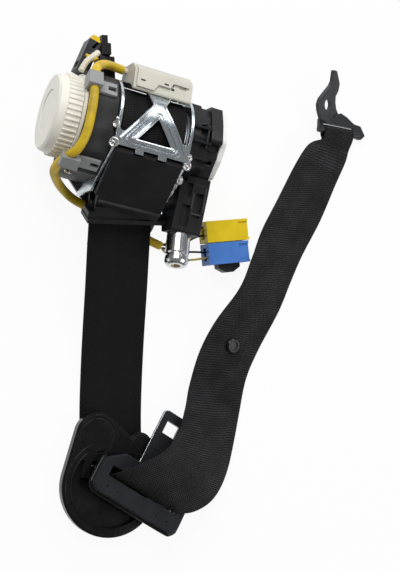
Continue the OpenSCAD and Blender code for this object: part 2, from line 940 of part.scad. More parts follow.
module webbing_guide() {
    color([0.06, 0.06, 0.065])
        difference() {
            union() {
                side(-hg + fit, hg - fit)
                    polygon([[corner_y - 1, sz + 32.2 * fs], [corner_y - 4, sz + 32.6 * fs],
                        [18, 41.5], [14, 36], [16, 33],
                        [21, 37.5], [49, sz + 28.3 * fs], [corner_y - 1, sz + 29 * fs]]);
                side(-hg + fit, hg - fit)
                    polygon([[flange_low + 14, sz - 9], [flange_low + 14, sz - 11.5], [20, 20],
                        [15, 21], [17, 27],
                        [20, 24]]);
                mouth_frame() {
                    translate([-mouth_in - 2, -2, -7])
                        cube([2 * mouth_in + 5.5, 9, 13.5]);
                    translate([-mouth_in - 2.5, -4.5, -9])
                        cube([2 * mouth_in + 8, 3, 18]);
                }
            }
            mouth_frame() {
                translate([-mouth_in, -10, -3.2])
                    cube([2 * mouth_in, 24, 6.4]);
                translate([-mouth_in - 8, 3, -14])
                    cube([mouth_in + 8 - hg + 3, 14, 28]);
            }
            for (x = [-hg - 12, hg - fit])
                translate([x, 20.5, 2])
                    cube([12, 30, 60]);
            for (x = [-8.5, 8.5])
                translate([x * ws - 3.4, corner_y - 4, sz + fr - sheet_t - 6])
                    cube([6.8, 4, 8]);
        }
}

// Belt webbing: centre and width direction of each station

belt_route = [
    [0, sy + strap_r * cos(112), sz + strap_r * sin(112), 1, 0, 0],
    [0, sy + strap_r * cos(133), sz + strap_r * sin(133), 1, 0, 0],
    [0.5, 32, 44, 0.995, 0.1, 0],
    [1, 15, 28.6, 0.98, 0.2, 0],
    [4, 0, 23.4, 0.98, 0.2, 0],
    [12, -36, 15.5, 0.98, 0.2, 0],
    [22, -84, 6.5, 0.98, 0.2, 0],
    [31, -126, 1.4, 0.98, 0.2, 0],
    [37, -149, 1.1, 0.99, 0.1, 0],
    [42.2, -160, 1.7, 0.995, 0.02, 0],
    [45.5, -165, 7, 0.998, -0.04, 0],
    [49, -170, 12.6, 0.995, -0.14, 0],
    [54.5, -174.5, 13.8, 1.01, -0.26, 0],
    [58.5, -177, 19.5, 1.04, -0.37, 0],
    [63, -176, 26, 1.07, -0.45, 0],
    [71, -172, 30, 1.1, -0.52, 0],
    [82.5, -164.5, 30.5, 1.1, -0.53, -0.1],
    [93.5, -155, 25, 1.07, -0.48, -0.2],
    [102, -140, 17, 1.03, -0.43, -0.22],
    [106.5, -120, 9.5, 1.01, -0.34, -0.2],
    [108.5, -100, 4.5, 0.98, -0.27, -0.11],
    [110, -74, 5, 0.95, -0.27, -0.17],
    [116, -50, 7, 0.93, -0.28, -0.25],
    [127.5, -20, 9.6, 0.91, -0.17, -0.36],
    [133.2, 5, 9.4, 0.92, -0.14, -0.36],
    [138.6, 28, 8, 0.93, -0.17, -0.3],
    [148, 56, 6.8, 0.94, -0.11, -0.24],
    [156, 86, 7.2, 0.92, -0.05, -0.25],
    [161.5, 104, 8, 0.87, 0, -0.22],
    [164.5, 112, 8, 0.76, 0.06, -0.18],
    [167.8, 120.2, 8.2, 0.62, 0.093, -0.13]];

module webbing() {
    s = smooth(belt_route, 3);
    n = len(s);
    c = [for (p = s) [p[0], p[1], p[2]]];
    w = [for (p = s) [p[3], p[4], p[5]] * strap_w / 2];
    up = [for (i = [0:n - 1]) unit(cross(w[i], c[min(i + 1, n - 1)] - c[max(i - 1, 0)])) * strap_t / 2];
    color([0.05, 0.05, 0.055])
        polyhedron(
            points = [for (i = [0:n - 1])
                each [c[i] - w[i] + up[i], c[i] + w[i] + up[i], c[i] + w[i] - up[i],
                    c[i] - w[i] - up[i]]],
            faces = concat(
                [[0, 1, 2, 3]],
                [for (i = [0:n - 2]) for (k = [0:3])
                    [4 * i + k, 4 * i + 4 + k, 4 * i + 4 + (k + 1) % 4, 4 * i + (k + 1) % 4]],
                [[4 * n - 1, 4 * n - 2, 4 * n - 3, 4 * n - 4]]));
}

button_at = [113.5, -58, 6.4];

module on_button() {
    translate(button_at)
        rotate([0, 0, -17])
            rotate([3, 12.5, 0])
                children();
}

module button_front() {
    color([0.05, 0.05, 0.055])
        on_button()
            translate([0, 0, strap_t / 2 + fit])
                difference() {
                    union() {
                        cylinder(h = 1.6, d = button_d);
                        translate([0, 0, 1.6])
                            cylinder(h = 0.8, d1 = button_d, d2 = button_d - 2);
                    }
                    translate([0, 0, 1.4])
                        cylinder(h = 2, d = button_d - 5);
                }
}

module button_back() {
    color([0.05, 0.05, 0.055])
        on_button()
            translate([0, 0, -strap_t / 2 - fit - 2])
                cylinder(h = 2, d = button_d);
}

// Pillar loop

module on_loop() {
    translate(loop_at)
        rotate([0, 0, loop_turn])
            children();
}

loop_eye = [-25, 21.5];
loop_mid = [-6.5, -12.5];

module loop_outline(grow) {
    hull() {
        translate(loop_mid)
            circle(36.5 + grow, $fn = 96);
        translate(loop_eye)
            circle(16 + grow, $fn = 64);
    }
    translate([8, 21])
        circle(9.5 + grow);
}

flap_r = 12.6;

module loop_slot(x, y0, y1) {
    translate([x - strap_w / 2 - 2.3, y0])
        square([strap_w + 4.6, y1 - y0]);
}

module loop_cover() {
    color([0.045, 0.045, 0.05])
        on_loop()
            difference() {
                union() {
                    plan(loop_z, loop_top - 1.2)
                        loop_outline(0);
                    plan(loop_top - 1.4, loop_top)
                        loop_outline(-1.4);
                }
                plan(loop_top - 3.4, loop_top + 1)
                    difference() {
                        translate(loop_mid)
                            circle(30);
                        translate([-60, 2])
                            square([120, 60]);
                        square([strap_w + 14, 20], center = true);
                    }
                plan(loop_z - 1, loop_z + 4)
                    loop_slot(-1.9, -3.4, 6.8);
                plan(loop_z + 3.9, loop_top + 1)
                    loop_slot(1.2, -9, 3);
                plan(loop_z - 1, loop_top + 1)
                    translate(loop_eye)
                        circle(11);
                plan(loop_top - 2, loop_top + 1)
                    translate(loop_eye)
                        circle(flap_r + fit);
            }
}

module loop_cap() {
    color([0.045, 0.045, 0.05])
        on_loop()
            translate(loop_eye) {
                plan(loop_top - 1.7, loop_top - 0.3)
                    circle(flap_r);
                plan(loop_top - 0.5, loop_top + 0.2)
                    circle(flap_r - 0.7);
            }
}

module loop_core() {
    color([0.55, 0.56, 0.58])
        on_loop()
            plan(loop_z + 2, loop_z + 5)
                difference() {
                    translate(loop_eye)
                        circle(11 - fit);
                    translate(loop_eye)
                        circle(d = loop_hole_d);
                }
}

// Buckle tongue

module on_tongue() {
    translate(tongue_at)
        rotate([0, 0, tongue_turn])
            rotate([tongue_tilt, 0, 0])
                children();
}

grip_z = 4;
grip_shape = [[-37, -12], [-33, -16], [33, -16], [37, -12], [37, 8], [14, 18], [-24, 18], [-37, 8]];

blade_half = strap_w / 2 + 9.5;

module tongue_slot(extra) {
    translate([0, 1.45])
        square([strap_w + 11 + extra, 8.1 + extra], center = true);
}

module tongue_plate() {
    color([0.10, 0.10, 0.105])
        on_tongue()
            plan(-blade_t / 2, blade_t / 2)
                difference() {
                    polygon(rounded([[-blade_half, -12], [blade_half, -12], [blade_half, 7],
                        [blade_w / 2 - 1, 17], [blade_w / 2 - 1, 63], [-blade_w / 2 - 1, 63],
                        [-blade_w / 2 - 1, 17], [-blade_half, 7]], 3));
                    tongue_slot(3);
                    translate([-6.2, 46])
                        square([10.5, 10]);
                }
}

module tongue_grip() {
    color([0.05, 0.05, 0.055])
        on_tongue()
            difference() {
                union() {
                    plan(-grip_z + 1, grip_z - 1)
                        polygon(rounded(grip_shape, 3));
                    plan(-grip_z, grip_z)
                        polygon(rounded([for (p = grip_shape) p * 0.965], 3));
                }
                plan(-grip_z - 1, grip_z + 1)
                    tongue_slot(0);
                plan(-blade_t / 2 - 0.02, blade_t / 2 + 0.02)
                    polygon([[-blade_half - 0.05, -12.05], [blade_half + 0.05, -12.05],
                        [blade_half + 0.05, 7.05], [blade_w / 2 + 1.5, 16.7],
                        [blade_w / 2 - 0.9, 19], [blade_w / 2 - 0.9, 30], [-blade_w / 2 - 1.1, 30],
                        [-blade_w / 2 - 1.1, 19], [-blade_w / 2 - 3.5, 16.7],
                        [-blade_half - 0.05, 7.05]]);
                for (x = [-26, -17, 17, 26])
                    translate([x, -10, grip_z - 0.8])
                        cylinder(h = 2, r = 1.1);
            }
}

// Floor anchor

anchor_at = [167.6, 124.8, 8.5];
anchor_turn = 8.5;
anchor_roll = 12;
ear_at = [150.9, 141.3, 15];
ear_turn = -3;
ear_roll = 31;

module on_anchor() {
    translate(anchor_at)
        rotate([0, anchor_roll, anchor_turn])
            children();
}

module floor_anchor() {
    color([0.06, 0.06, 0.065]) {
        on_anchor() {
            translate([-19, 0, 0])
                rotate([0, 90, 0])
                    cylinder(h = 41, d = anchor_t + 2);
            plan(-anchor_t / 2, anchor_t / 2)
                difference() {
                    polygon(rounded([[-19.5, -2.5], [-19.5, 8], [-7, 9], [-1, 14], [2, 15],
                        [8.4, 12.6], [15.5, 8.4],
                        [22.5, 7.6], [27.5, 0.5], [23.5, -3.2], [18, -2.5]], 1));
                    translate([-15.4, -8])
                        square([31, 12.7]);
                }
        }
        translate(ear_at)
            rotate([0, ear_roll, ear_turn])
                plan(-anchor_t / 2, anchor_t / 2)
                    difference() {
                        polygon(rounded([[-2.2, 28], [2, 28.6], [7, 23.8], [9.5, 21], [10, 15.6],
                            [8, 10], [9.5, 5.5], [12.5, 1.5],
                            [18, -2], [17, -9], [10, -12.5], [2, -13.4], [-4.4, -13.2],
                                [-9.8, -8.2], [-12.2, -4.2], [-11.6, 0.6],
                            [-7.2, 7.6], [-2, 15.4], [-0.8, 19]], 0.6));
                        circle(d = anchor_hole_d);
                    }
    }
}

module webbing_eye() {
    color([0.05, 0.05, 0.055])
        on_anchor()
            rotate([0, 90, 0])
                translate([0, 0, -14.9])
                    difference() {
                        cylinder(h = 29.8, r = anchor_t / 2 + 1 + fit + strap_t);
                        translate([0, 0, -1])
                            cylinder(h = 32, r = anchor_t / 2 + 1 + fit);
                    }
}

// Car-side plugs and their wires

yellow_at = [75.1, 12.1, 0];
blue_at = [75.3, 11.5, 0];
plug_turn = 18;

module plug_body(l, w, h) {
    difference() {
        cube([l, w, h]);
        translate([l - 8, 2, h - 1.2])
            cube([9, w - 4, 3]);
        translate([-1, w / 2 - 5, h / 2 - 2.5])
            cube([5, 10, 5]);
    }
}

module yellow_plug() {
    color([0.93, 0.80, 0.05])
        translate(yellow_at)
            rotate([0, 0, plug_turn])
                difference() {
                    plug_body(34, 16, 16);
                    translate([26, -1, 5])
                        cube([6, 3, 7]);
                }
}

module blue_plug() {
    color([0.15, 0.36, 0.78])
        translate(blue_at)
            rotate([0, 0, plug_turn])
                translate([0, -16, 0])
                    difference() {
                        plug_body(33, 16, 16);
                        translate([8, -1, 3.5])
                            cube([18, 4, 9]);
                    }
}

module plug_secondary_lock() {
    color([0.05, 0.05, 0.055])
        translate(blue_at)
            rotate([0, 0, plug_turn])
                translate([0, -16, 0])
                    plan(3.5 + fit, 12.5 - fit)
                        polygon(rounded([[8 + fit, 2.7], [26 - fit, 2.7], [26 - fit, -3],
                            [20, -6.5], [14, -6.5],
                            [8 + fit, -3]], 1));
}

function plug_end(p, off, y, z) =
    [p[0] + off * cos(plug_turn) - y * sin(plug_turn),
        p[1] + off * sin(plug_turn) + y * cos(plug_turn), z];

module wire(a, b, c, d, e) {
    tube(smooth([a, b, c, d, e], 3), 1.6, 8);
}

module wire_yellow_a() {
    color([0.05, 0.05, 0.055])
        wire([43.1, 3.6, 8], [51, 4, 11], [58, 8, 13], [67, 15, 11], plug_end(yellow_at, 3.4, 6, 8));
}

module wire_yellow_b() {
    color([0.90, 0.76, 0.06])
        wire([43.1, 3.6, 5.8], [51, 8, 4.8], [59, 15, 5], [68, 20.5, 7], plug_end(yellow_at, 3.4,
            9.5, 8));
}

module wire_blue_a() {
    color([0.05, 0.05, 0.055])
        wire([43.1, 1.4, 8], [51, 0, 11], [59, 1.5, 12], [69, 4, 10], plug_end(blue_at, 3.4, -6.5, 8));
}

module wire_blue_b() {
    color([0.90, 0.76, 0.06])
        wire([43.1, 1.4, 5.8], [51, -3, 5], [60, -4, 6], [70, -1.5, 7.5], plug_end(blue_at, 3.4,
            -10, 8));
}

frame();
mounting_plate();
frame_rivets();
left_housing();
spring_plate();
spring_cap();
return_spring();
housing_screws();
clip_upper();
clip_lower();
harness_sleeve();
harness_cable();
connector_holder();
holder_insert();
plug_housing();
plug_lock();
sensor_module();
module_lid();
module_cable();
lock_housing();
lock_cover();
tensioner_housing();
tensioner_tube();
gas_generator();
igniter();
webbing_guide();
spool_bushes();
sensor_cage();
limiter_squib();
webbing();
button_front();
button_back();
yellow_plug();
blue_plug();
plug_secondary_lock();
wire_yellow_a();
wire_yellow_b();
wire_blue_a();
wire_blue_b();
spool();
torsion_bar();
webbing_roll();
lock_base();
limiter_ring();
spring_arbor();
lock_pawl();
control_disc();
inertia_pawl();
sensor_ball();
sensor_lever();
drive_pinion();
piston_rack();
limiter_pawl();
loop_core();
loop_cover();
loop_cap();
tongue_plate();
tongue_grip();
floor_anchor();
webbing_eye();
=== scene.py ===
"""Seat belt retractor with its belt, pillar loop, tongue, floor anchor and plugs.

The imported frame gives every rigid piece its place. This script adds the woven
belt, the wires and the pressed, sewn and moulded details, and gives each piece
a finish of its own. Sizes are written in millimetres and built in metres.
"""

from __future__ import annotations

import json
import logging
import math
from dataclasses import dataclass, field
from enum import Enum
from typing import Callable, Mapping, Sequence

import bpy
from mathutils import Matrix, Vector

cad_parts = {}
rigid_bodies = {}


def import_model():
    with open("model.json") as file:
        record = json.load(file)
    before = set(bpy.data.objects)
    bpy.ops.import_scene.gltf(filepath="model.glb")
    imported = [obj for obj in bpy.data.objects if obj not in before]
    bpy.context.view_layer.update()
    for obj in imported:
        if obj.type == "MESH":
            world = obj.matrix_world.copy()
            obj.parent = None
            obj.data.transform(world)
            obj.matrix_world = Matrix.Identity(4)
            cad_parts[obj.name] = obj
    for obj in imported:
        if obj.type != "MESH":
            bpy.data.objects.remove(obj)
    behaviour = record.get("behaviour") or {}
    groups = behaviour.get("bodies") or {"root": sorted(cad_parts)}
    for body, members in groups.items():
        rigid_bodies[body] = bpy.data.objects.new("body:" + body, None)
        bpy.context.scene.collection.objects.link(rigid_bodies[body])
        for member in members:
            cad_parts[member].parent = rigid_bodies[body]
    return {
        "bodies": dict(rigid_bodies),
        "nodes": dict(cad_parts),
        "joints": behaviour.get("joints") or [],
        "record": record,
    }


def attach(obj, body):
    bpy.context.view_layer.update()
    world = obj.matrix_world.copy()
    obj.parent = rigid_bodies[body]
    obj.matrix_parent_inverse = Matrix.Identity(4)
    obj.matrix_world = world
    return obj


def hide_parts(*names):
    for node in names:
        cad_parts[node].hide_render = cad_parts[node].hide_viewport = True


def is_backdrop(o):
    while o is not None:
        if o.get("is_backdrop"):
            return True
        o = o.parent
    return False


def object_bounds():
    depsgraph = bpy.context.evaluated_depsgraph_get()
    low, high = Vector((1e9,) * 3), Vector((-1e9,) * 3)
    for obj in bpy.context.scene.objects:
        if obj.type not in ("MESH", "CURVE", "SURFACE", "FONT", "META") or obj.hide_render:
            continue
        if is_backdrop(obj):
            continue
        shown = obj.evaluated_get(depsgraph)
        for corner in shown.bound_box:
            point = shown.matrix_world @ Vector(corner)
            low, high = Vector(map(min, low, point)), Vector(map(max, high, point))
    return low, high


MM = 0.001
LOG = logging.getLogger("retractor")
Colour = tuple[float, float, float]
Point = tuple[float, float, float]
Spot = tuple[float, float]
BRIGHTEST = 0.95


class Body(str, Enum):
    """Bodies of the frame that pieces ride on."""

    RETRACTOR = "retractor"
    LOOP = "pillar_loop"
    TONGUE = "tongue"


class Slot(str, Enum):
    """Material slots of the record, written beside the new pieces."""

    ZINC = "zinc_steel"
    BLACK = "black_plastic"
    GLOSS = "gloss_black"
    SLEEVE = "yellow_sleeve"
    WEBBING = "black_webbing"
    WIRE_BLACK = "wire_black"
    WIRE_YELLOW = "wire_yellow"
    DARK = "dark_steel"
    YELLOW = "yellow_plastic"


# Shader building


class Sock:
    """A node's output socket that can be used in arithmetic."""

    def __init__(self, shader: "Shader", socket: bpy.types.NodeSocket) -> None:
        """Keeps the socket and the shader that it belongs to."""
        self.shader = shader
        self.socket = socket

    def math(self, operation: str, *others: "Sock | float") -> "Sock":
        """Adds one Math node.

        Args:
            operation: the Math node's operation.
            others: the second and third operands.

        Returns:
            The node's result.
        """
        values = dict(enumerate((self, *others)))
        return self.shader.node("ShaderNodeMath", {"operation": operation}, values)

    def reflected(self, operation: str, first: float) -> "Sock":
        """Adds one Math node with a number as its first operand.

        Args:
            operation: the Math node's operation.
            first: the first operand.

        Returns:
            The node's result.
        """
        return self.shader.node(
            "ShaderNodeMath", {"operation": operation}, {0: first, 1: self}
        )

    def __add__(self, other: "Sock | float") -> "Sock":
        """Adds."""
        return self.math("ADD", other)

    __radd__ = __add__

    def __mul__(self, other: "Sock | float") -> "Sock":
        """Multiplies."""
        return self.math("MULTIPLY", other)

    __rmul__ = __mul__

    def __sub__(self, other: "Sock | float") -> "Sock":
        """Subtracts."""
        return self.math("SUBTRACT", other)

    def __rsub__(self, other: float) -> "Sock":
        """Subtracts from a number."""
        return self.reflected("SUBTRACT", other)

    def __truediv__(self, other: "Sock | float") -> "Sock":
        """Divides."""
        return self.math("DIVIDE", other)

    def clamp(self) -> "Sock":
        """Keeps the value between 0 and 1."""
        return self.math("MAXIMUM", 0.0).math("MINIMUM", 1.0)

    def step(self, low: float, high: float) -> "Sock":
        """Maps low to 0 and high to 1, clamped."""
        return ((self - low) / (high - low)).clamp()

    def hump(self) -> "Sock":
        """A round hump over each whole step of the value, from 0 to 1."""
        inside = self.math("FRACT") * 2.0 - 1.0
        return 1.0 - inside * inside


class Shader:
    """The nodes of one material or world under construction."""

    def __init__(self, owner: bpy.types.Material | bpy.types.World) -> None:
        """Empties the owner's node tree.

        Args:
            owner: the material or world that gets the nodes.
        """
        owner.use_nodes = True
        self.owner = owner
        self.tree = owner.node_tree
        self.tree.nodes.clear()

    def node(
        self,
        kind: str,
        settings: Mapping[str, object] | None = None,
        sockets: Mapping[str | int, object] | None = None,
        out: str | int = 0,
    ) -> Sock:
        """Adds one node.

        Args:
            kind: the node's type.
            settings: its own properties, such as an operation, set first.
            sockets: values or links for its inputs, by name or index.
            out: the output to return.

        Returns:
            The chosen output, wrapped.
        """
        node = self.tree.nodes.new(kind)
        for key, value in (settings or {}).items():
            setattr(node, key, value)
        for key, value in (sockets or {}).items():
            if isinstance(value, Sock):
                self.tree.links.new(value.socket, node.inputs[key])
            else:
                node.inputs[key].default_value = value
        return Sock(self, node.outputs[out] if node.outputs else None)

    def place(self) -> Sock:
        """The point on the piece, in metres."""
        return self.node("ShaderNodeTexCoord", out="Object")

    def parts(self, vector: Sock) -> tuple[Sock, Sock, Sock]:
        """Splits a vector.

        Args:
            vector: the vector to split.

        Returns:
            Its three numbers.
        """
        first = self.node("ShaderNodeSeparateXYZ", None, {0: vector})
        outputs = first.socket.node.outputs
        return first, Sock(self, outputs[1]), Sock(self, outputs[2])

    def stretch(self, vector: Sock, scale: Point) -> Sock:
        """Scales a vector by three factors."""
        return self.node("ShaderNodeMapping", None, {"Vector": vector, "Scale": scale})

    def noise(self, vector: Sock, size_mm: float, detail: float) -> Sock:
        """Noise between about 0.2 and 0.8 with features of one size.

        Args:
            vector: the coordinates to read, in metres.
            size_mm: the size of a feature.
            detail: the number of finer octaves.

        Returns:
            The noise value.
        """
        sockets = {"Vector": vector, "Scale": 1.0 / (size_mm * MM), "Detail": detail}
        return self.node("ShaderNodeTexNoise", None, sockets)

    def mix(self, share: Sock | float, first: object, second: object) -> Sock:
        """Mixes two colours.

        Args:
            share: how much of the second colour, from 0 to 1.
            first: a colour or a colour socket.
            second: a colour or a colour socket.

        Returns:
            The mixed colour.
        """
        values = [(*c, 1.0) if isinstance(c, tuple) else c for c in (first, second)]
        return self.node(
            "ShaderNodeMix",
            {"data_type": "RGBA"},
            {0: share, 6: values[0], 7: values[1]},
            out=2,
        )

    def round_edges(self, radius_mm: float) -> Sock:
        """The surface normal with small rounded edges."""
        return self.node("ShaderNodeBevel", {"samples": 4}, {"Radius": radius_mm * MM})

    def edge_mask(self, rounded: Sock, gain: float) -> Sock:
        """A mask of the sharp edges.

        Args:
            rounded: the normal with rounded edges.
            gain: how fast the mask rises.

        Returns:
            1 on sharp edges and 0 on faces.
        """
        flat = self.node("ShaderNodeNewGeometry", out="Normal")
        along = self.node(
            "ShaderNodeVectorMath",
            {"operation": "DOT_PRODUCT"},
            {0: rounded, 1: flat},
            out="Value",
        )
        return ((1.0 - along) * gain).clamp()

    def bump(self, height: Sock, depth_mm: float, normal: Sock | None = None) -> Sock:
        """A bumped normal.

        Args:
            height: the height, from 0 to 1.
            depth_mm: the height of a 1.
            normal: the normal to start from.

        Returns:
            The new normal.
        """
        sockets = {"Height": height, "Distance": depth_mm * MM, "Strength": 1.0}
        if normal is not None:
            sockets["Normal"] = normal
        return self.node("ShaderNodeBump", None, sockets)

    def surface(self, sockets: Mapping[str, object]) -> bpy.types.Material:
        """Closes the material with a Principled surface.

        Args:
            sockets: values or links for the surface's inputs.

        Returns:
            The finished material.
        """
        skin = self.node("ShaderNodeBsdfPrincipled", None, sockets)
        self.node("ShaderNodeOutputMaterial", None, {"Surface": skin})
        return self.owner


# Finishes


@dataclass(frozen=True)
class Finish:
    """A finish: its name, colour and roughness."""

    name: str
    colour: Colour
    roughness: float

    def build(self) -> bpy.types.Material:
        """Makes the material."""
        raise NotImplementedError

    def shade(self, factor: float) -> Colour:
        """The colour times a factor, no channel above the brightest."""
        return tuple(min(BRIGHTEST, c * factor) for c in self.colour)

    def start(self) -> Shader:
        """An empty material of the finish's name."""
        return Shader(bpy.data.materials.new(self.name))


@dataclass(frozen=True)
class MouldedPlastic(Finish):
    """Moulded plastic with a fine grain, handling marks and a painted highlight on its sharp
    edges.
    """

    grain_mm: float = 0.5
    grain_depth_mm: float = 0.02
    grain_swell: float = 9.0
    mottle: float = 0.12
    smudge: float = 0.16
    edge_mm: float = 0.35
    # The paler colour of the sharp edges and its share: a painted highlight.
    edge_highlight: Colour = (0.10, 0.10, 0.105)
    edge_highlight_share: float = 0.35
    edge_gain: float = 5.0
    glow: float = 0.0
    glow_mm: Point = (0.6, 0.5, 0.35)
    mirror: float = 0.22
    painted_light_mm: float = 4.0
    patch_mm: float = 14.0
    mark_mm: float = 2.2
    mark_lie: Point = (1.0, 0.35, 1.0)

    def build(self) -> bpy.types.Material:
        """Makes the material.

        Returns:
            The finished material.
        """
        sh = self.start()
        co = sh.place()
        rounded = sh.round_edges(self.edge_mm)
        highlight_patches = sh.noise(co, self.painted_light_mm, 3.0).step(0.35, 0.65)
        # Painted highlight: the sharp edges turn paler, patchy by noise.
        edges = sh.edge_mask(rounded, self.edge_gain) * (0.35 + highlight_patches * 0.65) * self.edge_highlight_share
        patches = sh.noise(co, self.patch_mm, 4.0).step(0.3, 0.7)
        marks = sh.noise(sh.stretch(co, self.mark_lie), self.mark_mm, 5.0).step(0.45, 0.75)
        base = sh.mix(patches, self.shade(1.0 - self.mottle), self.shade(1.0 + self.mottle))
        base = sh.mix(edges, base, self.edge_highlight)
        rough = self.roughness + (patches - 0.5) * self.smudge - marks * self.smudge * 0.5
        fine = sh.noise(co, self.grain_mm, 2.0)
        broad = sh.noise(co, self.grain_mm * self.grain_swell, 2.0)
        return sh.surface(
            {
                "Base Color": base,
                "Roughness": rough.clamp(),
                "Specular IOR Level": self.mirror,
                "Subsurface Weight": self.glow,
                "Subsurface Radius": tuple(depth * MM for depth in self.glow_mm),
                "Normal": sh.bump(fine * 0.7 + broad * 0.6, self.grain_depth_mm, rounded),
            }
        )


@dataclass(frozen=True)
class PlatedSteel(Finish):
    """Plated or bare steel with clouding, drawn lines, fine pits and a painted highlight on its
    sharp edges.
    """

    cloud: Colour = (0.55, 0.58, 0.64)
    cloud_mm: float = 9.0
    lines: Point = (1.0, 0.06, 1.0)
    line_mm: float = 0.6
    line_depth_mm: float = 0.01
    spread: float = 0.14
    edge_mm: float = 0.3
    edge_gain: float = 4.0
    metallic: float = 1.0
    pitting: float = 0.25
    pit_mm: float = 0.9

    def build(self) -> bpy.types.Material:
        """Makes the material.

        Returns:
            The finished material.
        """
        sh = self.start()
        co = sh.place()
        rounded = sh.round_edges(self.edge_mm)
        edges = sh.edge_mask(rounded, self.edge_gain)
        clouds = sh.noise(co, self.cloud_mm, 4.0).step(0.3, 0.7)
        drawn = sh.noise(sh.stretch(co, self.lines), self.line_mm, 3.0)
        pits = sh.noise(co, self.pit_mm, 4.0).step(0.56, 0.7)
        base = sh.mix(clouds * 0.7, self.colour, self.cloud)
        base = sh.mix(pits * self.pitting, base, self.shade(0.55))
        # Painted highlight: the sharp edges are lighter.
        base = sh.mix(edges * 0.6, base, self.shade(1.25))
        rough = self.roughness + (clouds - 0.5) * self.spread + (drawn - 0.5) * 0.2
        height = drawn - pits * (self.pitting * 2.0)
        return sh.surface(
            {
                "Base Color": base,
                "Metallic": self.metallic,
                "Roughness": (rough + pits * (self.pitting * 0.5)).clamp(),
                "Normal": sh.bump(height, self.line_depth_mm, rounded),
            }
        )


@dataclass(frozen=True)
class BeltWeave(Finish):
    """Belt webbing: warp columns with twill floats, laid out on the strap's own map.

    The map runs from nought at the sewn eye back to the spool, so places along it are
    below nought. The shift keeps the counts of the weave above nought.
    """

    column_mm: float = 1.15
    float_mm: float = 1.9
    panel_mm: float = 9.4
    depth_mm: float = 0.24
    # Paler colour of the threads that stand proud: a painted highlight.
    painted_thread_highlight: Colour = (0.085, 0.085, 0.09)
    wear_mm: float = 16.0
    fuzz_mm: float = 0.8
    row_mm: float = 2.4
    stitch_mm: float = 2.1
    stitch_high: float = 2.2
    sewn_mm: Spot = (-25.5, -6.5)
    sewn_fade_mm: float = 0.5
    # Painted shade: over this span of the map, back towards the spool, the threads lose most of
    # their paler colour, so the far leg of the strap looks darker.
    painted_light_mm: Spot = (-386.0, -345.0)
    painted_shade_keep: float = 0.12
    shift_mm: Spot = (200.0, 900.0)
    mirror: float = 0.09
    sheen: float = 0.03
    sheen_rough: float = 0.45

    def weave(self, across: Sock, along: Sock) -> tuple[Sock, Sock]:
        """Lays the weave out.

        Args:
            across: the place across the strap, in millimetres.
            along: the place along the strap, in millimetres.

        Returns:
            The height of the weave and the part of it that stands proud.
        """
        column = across / self.column_mm
        yarn = column.hump()
        panel = (across / self.panel_mm).math("PINGPONG", 1.0)
        lean = column.math("FLOOR") * 0.25 + panel * 4.0
        floats = (along / self.float_mm + lean).hump()
        height = yarn * (0.3 + floats * 0.7)
        return height, (yarn * floats).step(0.35, 0.9)

    def finish(
        self, sh: Shader, height: Sock, proud: Sock, co: Sock
    ) -> bpy.types.Material:
        """Closes the webbing's material.

        Args:
            sh: the shader under construction.
            height: the height of the weave.
            proud: the part of the weave that stands proud, which takes the painted highlight.
            co: the point on the piece.

        Returns:
            The finished material.
        """
        wear = sh.noise(co, self.wear_mm, 4.0).step(0.35, 0.7)
        fuzz = sh.noise(co, self.fuzz_mm, 2.0).step(0.35, 0.75)
        # Painted highlight: the threads that stand proud are paler, more so where the random
        # wear noise is high.
        base = sh.mix(proud * (0.25 + wear * 0.55), self.colour, self.painted_thread_highlight)
        base = sh.mix(fuzz * 0.2, base, self.shade(0.6))
        rough = self.roughness + (wear - 0.5) * 0.14 + (fuzz - 0.5) * 0.1
        return sh.surface(
            {
                "Base Color": base,
                "Roughness": rough.clamp(),
                "Specular IOR Level": self.mirror,
                "Sheen Weight": self.sheen,
                "Sheen Roughness": self.sheen_rough,
                "Normal": sh.bump(height + fuzz * 0.25, self.depth_mm),
            }
        )

    def build(self) -> bpy.types.Material:
        """Makes the material.

        Returns:
            The finished material.
        """
        sh = self.start()
        u, v, _ = sh.parts(sh.node("ShaderNodeUVMap"))
        along = v / MM
        side, run = u / MM + self.shift_mm[0], along + self.shift_mm[1]
        height, proud = self.weave(side, run)
        start, stop = self.sewn_mm
        sewn = along.step(start, start + self.sewn_fade_mm)
        sewn = sewn * (1.0 - along.step(stop - self.sewn_fade_mm, stop))
        rows = (run / self.row_mm).hump().step(0.75, 1.0)
        thread = rows * (side / self.stitch_mm).hump() * sewn
        # Painted shade: towards the spool only a small share of the thread highlight is kept.
        used = self.painted_shade_keep + along.step(*self.painted_light_mm) * (1.0 - self.painted_shade_keep)
        height = height + thread * self.stitch_high
        # The stitching takes the painted thread highlight too.
        return self.finish(sh, height, (proud + thread) * used, sh.place())


@dataclass(frozen=True)
class RollWeave(BeltWeave):
    """Webbing wound on the spool, laid out round the spool's axis."""

    axis_y_mm: float = 70.0
    axis_z_mm: float = 37.0
    radius_mm: float = 30.5
    layer_mm: float = 1.25
    rim_mm: float = 0.6

    def build(self) -> bpy.types.Material:
        """Makes the material.

        Returns:
            The finished material.
        """
        sh = self.start()
        co = sh.place()
        x, y, z = sh.parts(co)
        dy = y / MM - self.axis_y_mm
        dz = z / MM - self.axis_z_mm
        turn = dy.math("ARCTAN2", dz) * self.radius_mm
        shift = self.shift_mm[0]
        height, proud = self.weave(x / MM + shift, turn + shift)
        reach = (dy * dy + dz * dz).math("SQRT")
        rim = reach.step(self.radius_mm - self.rim_mm, self.radius_mm - self.rim_mm / 2)
        ends = (reach / self.layer_mm).hump() * (1.0 - rim)
        return self.finish(sh, height * rim + ends, proud * rim, co)


